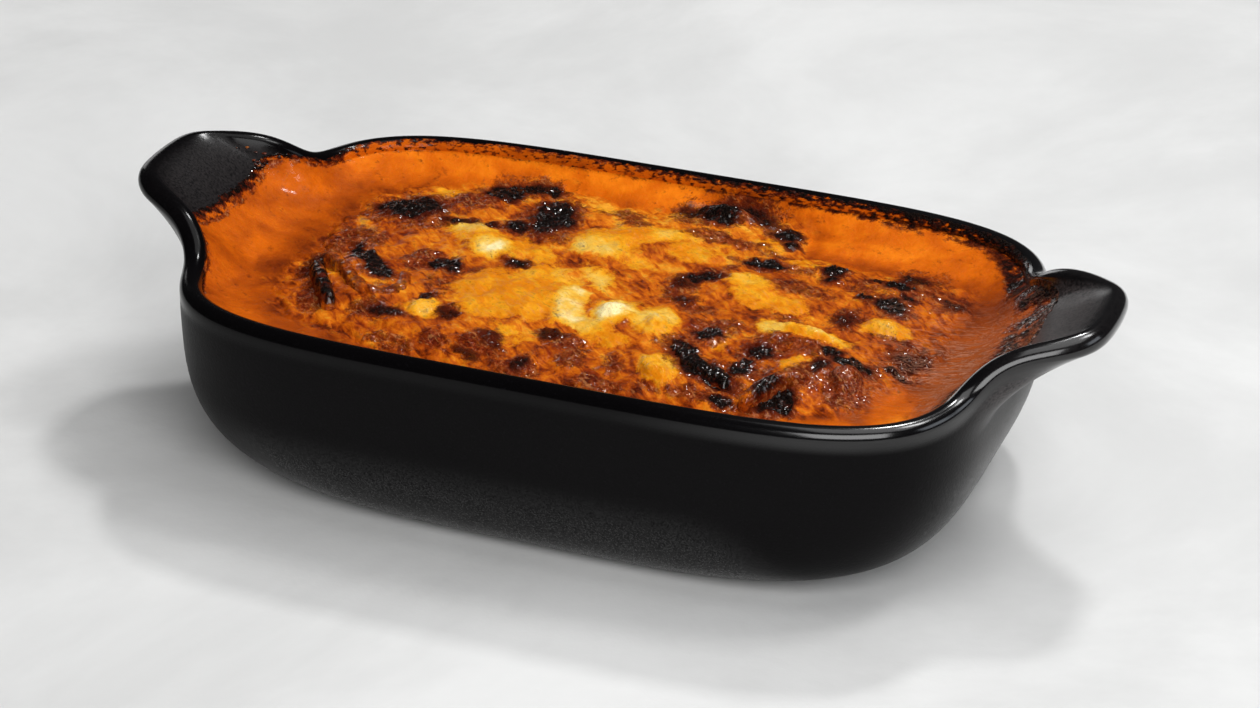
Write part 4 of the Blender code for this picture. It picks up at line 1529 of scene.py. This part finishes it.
@dataclass
class SaucePool(FoodPiece):
    """The sauce between the bed and the walls, baked on over the rim along the back."""

    columns: int = 1300
    rows: int = 44
    film_rows: int = 14
    floor: float = 36.0
    bite: float = 0.35
    film: float = 0.14
    film_bend: float = 1.35
    film_climb: float = 0.10
    under_bed: float = 0.93
    foot_share: float = 0.9
    swell: float = 0.16
    swell_size: float = 11.0
    wrinkle: float = 0.24
    wrinkle_size: float = 1.9

    def build(self) -> bpy.types.Object:
        """Skin the sauce from the rim to under the bed, then close it below.

        Returns:
            The sauce.
        """
        top, dish = self.top, self.top.dish
        angle = dish.angles(self.columns, 0.25)
        _, _, _, share = dish.rim_line(angle)
        limit = 1.0 - 0.5 * (1 - top.sauce_climb) * share
        ground = dish.inside(angle, limit)
        cover = self.cover(ground[:, 0], ground[:, 1])
        left = self.film_left(ground[:, 0], ground[:, 1], cover, 0.0)
        wall = dish.inside(angle, limit, self.thickness(left, 0.0))
        direction = np.arctan2(wall[:, 1], wall[:, 0])
        radius = np.interp((direction - top.directions[0]) % (2 * math.pi) + top.directions[0],
                           top.directions, top.wall_radius)
        inner = radius * top.share(direction) * self.under_bed
        inner = np.column_stack([np.cos(direction), np.sin(direction)]) * inner[:, None]
        rings, marks = self.baked_on(angle, limit, share, cover)
        for row in range(self.rows):
            out = 1.0 - row / (self.rows - 1)
            flat = inner + (wall[:, :2] - inner) * out
            x, y = flat[:, 0], flat[:, 1]
            power = top.bank_power * 1.25 - 1.5 * self.cover(x, y)
            bank = (wall[:, 2] - top.level) * out ** power
            near = ease(np.array(1.0 - out), 0.0, 0.12)
            relief = (self.swell * WAVES.layers(x, y, self.swell_size, 3, 0.5)
                      + self.wrinkles(x, y)) * near
            rings.append(np.column_stack([flat, top.level + bank + relief]))
            marks.append(self.marks(self.sauce_looks(x, y, out)))
        deep = np.column_stack([wall[:, :2] * self.foot_share, np.full(len(angle), self.floor)])
        shallow = np.column_stack([inner, np.full(len(angle), self.floor)])
        rings = [deep] + rings + [shallow]
        plain = {name: np.zeros(len(angle)) for name in marks[0]}
        marks = [plain] + marks + [plain]
        builder = MeshBuilder("sauce_pool")
        builder.add(np.concatenate(rings), band_faces(len(rings), len(angle), True),
                    {name: np.concatenate([m[name] for m in marks]) for name in plain})
        return builder.build()

    @staticmethod
    def cover(x: Array, y: Array) -> Array:
        """How far the sauce has baked on over the rim: 1 along the back, 0 at the front."""
        back = ease(y, 24, 44) * ease(x, -104, -94)
        return np.maximum(back, 0.55 * ease(np.abs(x), 84, 92))

    @staticmethod
    def film_left(x: Array, y: Array, cover: Array, up: float) -> Array:
        """How far inside the film's ragged edge a place lies: 0 at the edge, 1 well inside.

        Args:
            x: places along X in mm.
            y: places along Y in mm.
            cover: how far up the film reaches there.
            up: share of the way from the sauce to the film's utmost edge.

        Returns:
            Values of about -1 to 1.
        """
        calm = 1 - 0.6 * ease(np.abs(x), 84, 94)
        ragged = 0.22 * WAVES.layers(x, y + 5.0 * up, 2.4, 4, 0.65) * calm
        ragged = ragged + 0.16 * WAVES.at(x, y, 11.0)
        return cover + ragged - 1.05 * up

    def thickness(self, left: Array, up: float) -> Array:
        """Height of the film above the glaze in mm, below it where the film has ended.

        Args:
            left: how far inside the film's ragged edge the places lie.
            up: share of the way from the sauce to the film's utmost edge.

        Returns:
            Heights in mm.
        """
        inside = ease(left, -0.06, 0.16)
        thick = self.film * inside - self.bite * (1 - inside)
        return thick - (self.film + self.bite) * ease(np.array(up), 0.85, 1.0)

    def baked_on(self, angle: Array, limit: Array, share: Array,
                 cover: Array) -> tuple[list[Array], list[dict[str, Array]]]:
        """The thin film above the sauce, from its ragged upper edge down to the sauce.

        Args:
            angle: angle of each column.
            limit: climb at which the sauce ends in each column.
            share: the ear's share in each column.
            cover: how far up the film reaches in each column.

        Returns:
            Rings of the film and their looks, the uppermost first.
        """
        dish = self.top.dish
        on_ear = ease(share, 0.0, 0.25)[:, None]
        rings, marks = [], []
        for row in range(self.film_rows):
            up = 1.0 - row / self.film_rows
            bend = np.full(len(angle), up * self.film_bend)
            climb = np.minimum(limit + self.film_climb * up, 1.0)
            bare = (dish.over_rim(angle, bend, 0 * bend) * (1 - on_ear)
                    + dish.inside(angle, climb) * on_ear)
            x, y = bare[:, 0], bare[:, 1]
            left = self.film_left(x, y, cover, up)
            thick = self.thickness(left, up)
            rings.append(dish.over_rim(angle, bend, thick) * (1 - on_ear)
                         + dish.inside(angle, climb, thick) * on_ear)
            clumps = WAVES.layers(x, y + 6.0 * up, 1.7, 3, 0.6)
            darker = np.maximum(ease(x, -60, 40), 0.6 * ease(-x, 82, 92)) + ease(x, 68, 84)
            looks = self.top.looks(x, y)
            looks["char"] = np.clip(1.15 * (1 - ease(left, -0.05, 0.32 + 0.34 * darker))
                                    + 0.15 * darker + 0.55 * ease(x, 20, 70)
                                    + 0.7 * clumps, 0, 1.3)
            looks["brown"] = np.clip(1 - ease(left, 0.1, 0.62 + 0.5 * darker) + 0.5 * clumps,
                                     0, 1.1)
            looks["wet"] = (0.2 + 0.6 * ease(x, -80, -40)) * ease(left, 0.05, 0.4)
            looks["cheese"] = np.zeros(len(angle))
            looks["tone_and_painted_light"] = np.full(len(angle), 0.5)
            marks.append(self.marks(looks))
        return rings, marks

    def sauce_looks(self, x: Array, y: Array, out: float) -> dict[str, Array]:
        """Looks of the sauce: the bed's own near it, and baked edges near the wall.

        Args:
            x: places along X in mm.
            y: places along Y in mm.
            out: share of the way from the bed to the wall.

        Returns:
            A strength for each place, by the look's name.
        """
        looks = self.top.looks(x, y)
        wx, wy = self.top.wander(x, y)
        far = WAVES.layers(wx, wy, 4.0, 4, 0.6)
        back = ease(wy, 34, 52) * ease(wx, -95, -70)
        right = ease(wx, 70, 90)
        burnt = np.maximum(back * ease(wx, -40, 70) * 0.7 + 0.1 * back, right)
        at_end = ease(wx, 74, 88) * ease(wy, -44, -10)
        edge = ease(out + 0.22 * at_end, 0.80, 1.0)
        looks["brown"] = np.maximum(looks["brown"], burnt * edge * (0.85 + 0.6 * far))
        looks["char"] = np.maximum(looks["char"], burnt * ease(out + 0.20 * at_end, 0.88, 1.0)
                                   * (0.66 + 0.9 * far))
        thin = ease(np.array(out), 0.93, 1.0) * (0.55 + 0.5 * far) * (1 - 0.6 * back)
        looks["brown"] = np.maximum(looks["brown"], thin * 1.2)
        line = ease(np.array(out), 0.975, 1.0) * ease(-wy, 20, 40)
        looks["char"] = np.maximum(looks["char"], line * 0.6)
        return looks

    def wrinkles(self, x: Array, y: Array) -> Array:
        """Skin wrinkles at the right end, which run out from the bed.

        Args:
            x: places along X in mm.
            y: places along Y in mm.

        Returns:
            Heights in mm.
        """
        right = ease(x, 56, 78)
        bent = y + 3.0 * WAVES.layers(x, y, 10.0, 3)
        crests = WAVES.ridges(x * 0.3, bent, self.wrinkle_size, 3) - 0.45
        return self.wrinkle * right * crests


@dataclass
class MeltedLump(FoodPiece):
    """One lump of cheese or chunk of pasta that stands out of the bed."""

    node: str = ""
    slot: str = "cheese"
    half_long: float = 6.0
    half_wide: float = 6.0
    turn: float = 0.0
    bulge: float = 2.2
    fillet: float = 0.9
    spare: float = 1.35
    tuck: float = 0.7
    over_crest: float = 0.3
    floor: float = 38.5
    skin: float = 0.32
    skin_size: float = 3.0
    count: int = 74

    def build(self) -> bpy.types.Object:
        """Raise the lump out of the bed on a patch of its own.

        Returns:
            The lump, closed below.
        """
        low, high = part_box(self.node)
        middle = (low + high) / 2 / MM
        crest = high.z / MM
        u, v = np.meshgrid(np.linspace(-1, 1, self.count), np.linspace(-1, 1, self.count))
        radius = np.maximum(np.abs(u), np.abs(v))
        length = np.maximum(np.hypot(u, v), 1e-9)
        u, v = u * radius / length * self.spare, v * radius / length * self.spare
        c, s = math.cos(math.radians(self.turn)), math.sin(math.radians(self.turn))
        x = middle.x + u * self.half_long * c - v * self.half_wide * s
        y = middle.y + u * self.half_long * s + v * self.half_wide * c
        ground, looks = self.top.top(x, y)
        lobes = 0.13 * WAVES.layers(x, y, 5.0, 2) + 0.05 * WAVES.at(x, y, 2.0)
        distance = np.hypot(u, v) * (1 + lobes)
        height = (crest - self.top.bed_edge) * (1 - np.clip(distance, 0, 1.4) ** self.bulge)
        dome = self.top.bed_edge + height + self.surface(x, y)
        z = smooth_max(dome, ground, self.fillet)
        edge = ease(radius, 0.88, 1.0)
        z = np.minimum(z, crest + self.over_crest) - self.tuck * edge
        builder = MeshBuilder(self.node + "_piece")
        index = np.arange(self.count ** 2).reshape(self.count, self.count)
        builder.add(np.column_stack([x.ravel(), y.ravel(), z.ravel()]), patch_faces(index),
                    self.marks(self.coat(looks, distance)))
        return PastaBed(self.top, floor=self.floor).close(builder)

    def surface(self, x: Array, y: Array) -> Array:
        """Small swells of the lump's own skin."""
        return self.skin * WAVES.layers(x + 13, y - 29, self.skin_size, 4, 0.6)

    def coat(self, looks: dict[str, Array], distance: Array) -> dict[str, Array]:
        """Looks of the lump: clean on its crown, browned where it meets the bed.

        Args:
            looks: the bed's own looks under the lump.
            distance: how far out from the lump's middle, 1 at its edge.

        Returns:
            A strength for each place, by the look's name.
        """
        crown = ease(1.05 - distance, 0.0, 0.5)
        if self.slot == "cheese":
            looks["cheese"] = np.maximum(looks["cheese"], crown)
            looks["char"] = looks["char"] * (1 - 0.9 * crown)
            looks["brown"] = looks["brown"] * (1 - 0.75 * crown)
            looks["wet"] = np.maximum(looks["wet"], 0.25 * crown)
        else:
            looks["brown"] = np.maximum(looks["brown"], 0.7 * crown)
            looks["red"] = np.maximum(looks["red"], 0.6 * crown)
            looks["wet"] = np.maximum(looks["wet"], 0.8 * crown)
        return looks


@dataclass
class PastaRibbon(FoodPiece):
    """A strip of pasta that stands on edge out of the bed."""

    node: str = ""
    path: tuple = ()
    half_width: float = 2.0
    half_depth: float = 3.4
    burnt: float = 1.0
    jagged: float = 0.0
    squareness: float = 2.6
    tip_share: float = 0.09
    over_crest: float = 0.3
    per_span: int = 26
    sides: int = 30

    def smooth_path(self) -> Array:
        """Points along the strip's middle, through the short list of its bends."""
        points = [np.array(p, dtype=float) for p in self.path]
        points = [2 * points[0] - points[1]] + points + [2 * points[-1] - points[-2]]
        path = []
        for i in range(1, len(points) - 2):
            a, b, c, d = points[i - 1:i + 3]
            for step in range(self.per_span):
                t = step / self.per_span
                path.append(0.5 * (2 * b + (c - a) * t + (2 * a - 5 * b + 4 * c - d) * t * t
                                   + (3 * b - a - 3 * c + d) * t ** 3))
        path.append(points[-2])
        return np.array(path)

    def build(self) -> bpy.types.Object:
        """Loft the strip with rounded ends.

        Returns:
            The strip.
        """
        path = self.smooth_path()
        path[:, 2] += self.top.bed_edge - self.half_depth
        heading = np.gradient(path[:, :2], axis=0)
        heading /= np.linalg.norm(heading, axis=1, keepdims=True)
        count = len(path)
        along = np.linspace(0, 1, count)
        from_tip = np.minimum(along, 1 - along)
        taper = np.sqrt(np.clip(1 - (1 - from_tip / self.tip_share) ** 2, 0.06, 1))
        taper = np.where(from_tip > self.tip_share, 1.0, taper)
        angle = 2 * math.pi * (np.arange(self.sides) + 0.5) / self.sides
        rings, crest = [], []
        for i in range(count):
            u, v = GratinDish.outline(self.half_width * taper[i], self.half_depth * taper[i],
                                      self.squareness, angle)
            x = path[i, 0] - heading[i, 1] * u
            y = path[i, 1] + heading[i, 0] * u
            z = path[i, 2] + v
            rough = 1 + 0.26 * WAVES.layers(x * 1.3 + z, y * 1.3 - z, 2.6, 3, 0.6)
            x = path[i, 0] + (x - path[i, 0]) * rough
            y = path[i, 1] + (y - path[i, 1]) * rough
            ruffle = 0.25 * WAVES.layers(x + z, y, 1.7, 2)
            ruffle = ruffle - self.jagged * np.clip(
                0.62 - WAVES.ridges(x + 4, y - 9, 3.4, 3), 0, 1) * np.clip(v, 0, None)
            rings.append(np.column_stack([x, y, np.minimum(z + ruffle, path[i, 2]
                                                           + self.half_depth
                                                           + self.over_crest)]))
            crest.append((v / self.half_depth + 1) / 2)
        points, crest = np.concatenate(rings), np.concatenate(crest)
        looks = self.top.looks(points[:, 0], points[:, 1])
        patchy = 0.75 + 0.9 * WAVES.layers(points[:, 0], points[:, 1], 5.0, 3, 0.6)
        looks["char"] = np.maximum(looks["char"] * ease(crest, 0.5, 0.95),
                                   self.burnt * patchy * ease(crest, 0.60, 1.0))
        looks["brown"] = np.maximum(looks["brown"], 0.5)
        looks["red"] = np.maximum(looks["red"], 0.55 * ease(1 - crest, 0.1, 0.5))
        looks["wet"] = np.full(len(points), 0.9)
        tips = np.array([path[0], path[-1]])
        looks = {name: np.concatenate([values, [0, 0]]) for name, values in looks.items()}
        builder = MeshBuilder(self.node + "_piece")
        builder.add(np.concatenate([points, tips]), band_faces(count, self.sides),
                    self.marks(looks))
        builder.close_ends(count, self.sides)
        return builder.build()


# ---------------------------------------------------------------------------- crumbs and crust
def crumb_form() -> tuple[Array, Array]:
    """Points and triangles of a small round crumb."""
    bm = bmesh.new()
    bmesh.ops.create_icosphere(bm, subdivisions=1, radius=1.0)
    points = np.array([vert.co[:] for vert in bm.verts])
    faces = np.array([[vert.index for vert in face.verts] for face in bm.faces])
    bm.free()
    return points, faces


@dataclass
class CharCrumbs(FoodPiece):
    """Burnt crumbs that stand out of the charred patches."""

    wanted: int = 520
    tries: int = 60000
    field_x: tuple = (-80, 82)
    field_y: tuple = (-52, 56)
    smallest: float = 0.14
    largest: float = 0.42
    seed: int = 7

    def build(self) -> bpy.types.Object:
        """Scatter the crumbs where the top is charred.

        Returns:
            All crumbs in one mesh.
        """
        luck = np.random.default_rng(self.seed)
        x = luck.uniform(*self.field_x, self.tries)
        y = luck.uniform(*self.field_y, self.tries)
        reach, _ = self.top.reach(x, y)
        looks = self.top.looks(x, y)
        chance = ease(looks["char"], 0.45, 1.1) * (reach < 1.0)
        chosen = np.flatnonzero(luck.uniform(0, 1, len(x)) < chance)[:self.wanted]
        x, y = x[chosen], y[chosen]
        z, _ = self.top.top(x, y)
        form, faces = crumb_form()
        builder = MeshBuilder("char_crumbs")
        for px, py, pz in zip(x, y, z):
            size = self.smallest + (self.largest - self.smallest) * luck.uniform() ** 2.2
            lumps = 1 + luck.uniform(-0.3, 0.3, len(form))
            stretch = luck.uniform(0.7, 1.35, 3)
            points = form * lumps[:, None] * stretch * size
            builder.add(points + np.array([px, py, pz + size * 0.15]), faces,
                        {"tint": np.full(len(form), luck.uniform(0, 0.45))})
        return builder.build(40)


@dataclass
class EarResidue(FoodPiece):
    """Baked-on specks of sauce on the far side of the left ear."""

    wanted: int = 150
    smallest: float = 0.16
    largest: float = 0.60
    lift: float = 0.16
    behind_end: tuple = (0.05, 0.24)
    lowest_climb: float = 0.78
    climb_range: float = 0.18
    seed: int = 11

    def build(self) -> bpy.types.Object:
        """Scatter the specks up the ear's slope, close together near the sauce.

        Returns:
            All specks in one mesh.
        """
        luck = np.random.default_rng(self.seed)
        form, faces = crumb_form()
        builder = MeshBuilder("ear_residue")
        angle = math.pi - luck.uniform(*self.behind_end, self.wanted)
        height = luck.uniform(0, 1, self.wanted) ** 1.4
        climb = self.lowest_climb + self.climb_range * height
        places = self.top.dish.inside(angle, climb)
        for place in places:
            size = self.smallest + (self.largest - self.smallest) * luck.uniform() ** 2.0
            lumps = 1 + luck.uniform(-0.3, 0.3, len(form))
            stretch = np.array([luck.uniform(0.8, 1.8), luck.uniform(0.8, 1.4), 0.45])
            lifted = place + np.array([0.0, 0.0, self.lift])
            builder.add(form * lumps[:, None] * stretch * size + lifted, faces,
                        {"tint": np.full(len(form), luck.uniform(0.2, 1.5))})
        return builder.build(40)


# ---------------------------------------------------------------------------- studio
@dataclass
class Studio:
    """Floor, light and camera. Lengths are in metres, angles in degrees."""

    azimuth: float = 21.23
    elevation: float = 27.11
    distance: float = 0.8023
    roll: float = 0.303
    lens: float = 97.13
    target: tuple = (0.00386, 0.0, 0.02639)
    floor_half: float = 3.0
    sky: tuple = (0.93, 0.95, 1.0, 1.0)
    sky_strength: float = 0.035
    lights: tuple = (
        ("key_softbox", (0.38, 0.16, 1.45), (0, 0, 0.02), (1.1, 1.1), 7.0),
        ("key_core", (0.62, 0.40, 1.30), (0, 0, 0.02), (0.30, 0.30), 4.0),
        ("front_fill", (0.75, -1.25, 1.05), (0, 0, 0.02), (1.3, 1.1), 24.0),
        ("glint_softbox", (0.06, 0.62, 1.02), (0, 0, 0.03), (0.12, 0.12), 4.0),
        ("side_softbox", (1.05, 0.10, 0.42), (0.09, 0, 0.03), (0.5, 0.35), 1.2,
         (0.86, 0.92, 1.0)),
        ("horizon_strip", (-1.8, 2.1, 0.50), (0.1, 0, 0.04), (1.1, 0.9), 4.6))

    def build(self) -> None:
        """Lay the floor, hang the lights and set the camera."""
        self.lay_floor()
        self.hang_lights()
        self.set_camera()

    def lay_floor(self) -> None:
        """A wide pale floor under the dish."""
        bm = bmesh.new()
        bmesh.ops.create_grid(bm, x_segments=8, y_segments=8, size=self.floor_half)
        mesh = bpy.data.meshes.new("studio_floor")
        bm.to_mesh(mesh)
        bm.free()
        floor = bpy.data.objects.new("studio_floor", mesh)
        bpy.context.scene.collection.objects.link(floor)
        mesh.materials.append(FloorFinish().material())

    @staticmethod
    def area(name: str, place: tuple, aim: tuple, size: tuple, watts: float,
             colour: tuple = (1.0, 1.0, 1.0)) -> None:
        """One softbox.

        Args:
            name: the light's name.
            place: where it hangs, in metres.
            aim: the point it faces.
            size: its width and height.
            watts: its power.
            colour: its colour.
        """
        lamp = bpy.data.lights.new(name, "AREA")
        lamp.shape = "RECTANGLE"
        lamp.size, lamp.size_y = size
        lamp.energy = watts
        lamp.color = colour
        light = bpy.data.objects.new(name, lamp)
        light.location = place
        light.rotation_euler = (Vector(aim) - Vector(place)).to_track_quat("-Z", "Y").to_euler()
        bpy.context.scene.collection.objects.link(light)

    def hang_lights(self) -> None:
        """Hang the softboxes and set the faint sky."""
        for light in self.lights:
            self.area(*light)
        world = bpy.data.worlds.new("studio_world")
        world.use_nodes = True
        background = world.node_tree.nodes["Background"]
        background.inputs["Color"].default_value = self.sky
        background.inputs["Strength"].default_value = self.sky_strength
        bpy.context.scene.world = world
        bpy.context.scene.view_settings.view_transform = "Standard"

    def set_camera(self) -> None:
        """The camera, a little to the right of the front and above."""
        a, e = math.radians(self.azimuth), math.radians(self.elevation)
        back = Vector((math.sin(a) * math.cos(e), -math.cos(a) * math.cos(e), math.sin(e)))
        lens = bpy.data.cameras.new("studio_camera")
        lens.lens, lens.sensor_width = self.lens, 36.0
        lens.clip_start, lens.clip_end = 0.01, 20.0
        lens.dof.use_dof = False
        camera = bpy.data.objects.new("studio_camera", lens)
        camera.location = Vector(self.target) + back * self.distance
        aim = (-back).to_track_quat("-Z", "Y")
        camera.rotation_mode = "QUATERNION"
        tilt = Quaternion((0, 0, 1), math.radians(self.roll))
        camera.rotation_quaternion = aim @ tilt
        bpy.context.scene.collection.objects.link(camera)
        bpy.context.scene.camera = camera


# ---------------------------------------------------------------------------- the whole
LUMPS = (
    ("cheese_centre_left", "cheese", 6.0, 6.8, 10), ("cheese_centre_right", "cheese", 5.2, 7.0, 25),
    ("cheese_left", "cheese", 11.5, 6.4, -38), ("cheese_back", "cheese", 14.5, 7.6, 30),
    ("cheese_ridge_right", "cheese", 12.6, 4.2, -8),
    ("cheese_patch_right", "cheese", 5.6, 4.4, -15),
    ("cheese_front", "cheese", 8.8, 4.6, -46), ("cheese_front_left", "cheese", 4.4, 5.4, -20),
    ("pasta_chunk_right", "pasta", 4.8, 6.0, 12), ("pasta_chunk_back", "pasta", 9.5, 4.4, -8))
RIBBONS = (
    ("pasta_fold_left", ((-69, -12, 4.6), (-60.5, -19, 4.8), (-54, -25.5, 4.6),
                         (-48, -26.5, 4.0), (-45.5, -20, 3.4), (-48.5, -12, 3.2)), 2.0, 3.4, 0.25),
    ("pasta_edge_left", ((-69, -17, 3.6), (-65.5, -23, 4.8), (-61, -29.5, 5.0),
                         (-56.5, -35.5, 4.0)), 1.9, 4.0, 1.3),
    ("pasta_arch_right", ((47.0, -44, 1.8), (49, -38.0, 3.8), (53, -33, 4.8),
                          (58.5, -29.5, 4.0)), 1.7, 3.2, 0.0),
    ("crust_ridge_front", ((24.5, -23.5, 3.0), (29, -29.5, 3.8), (35, -34, 3.8),
                           (42.5, -37, 3.0)), 2.4, 3.0, 1.5, 1.1))


def main() -> None:
    """Build the dish, the food and the studio, in that order."""
    logging.basicConfig(level=logging.INFO, format="%(name)s: %(message)s")
    dish = GratinDish()
    dress(dish.build(), GlazeFinish().material(), "stoneware", "dish")
    top = BakedTop(dish)
    baked = BakedFinish().material()
    burnt = BurntFinish().material()
    dress(SaucePool(top).build(), baked, "sauce", "sauce")
    dress(PastaBed(top).build(), baked, "bed", "pasta_bed")
    for node, slot, half_long, half_wide, turn in LUMPS:
        lump = MeltedLump(top, node, slot, half_long, half_wide, turn)
        dress(lump.build(), baked, slot, node)
    for node, path, *sizes in RIBBONS:
        strip = PastaRibbon(top, node, path, *sizes)
        dress(strip.build(), baked, "pasta", node)
    dress(CharCrumbs(top).build(), burnt, "bed")
    dress(EarResidue(top).build(), burnt, "sauce")
    Studio().build()


if __name__ == "__main__":
    main()
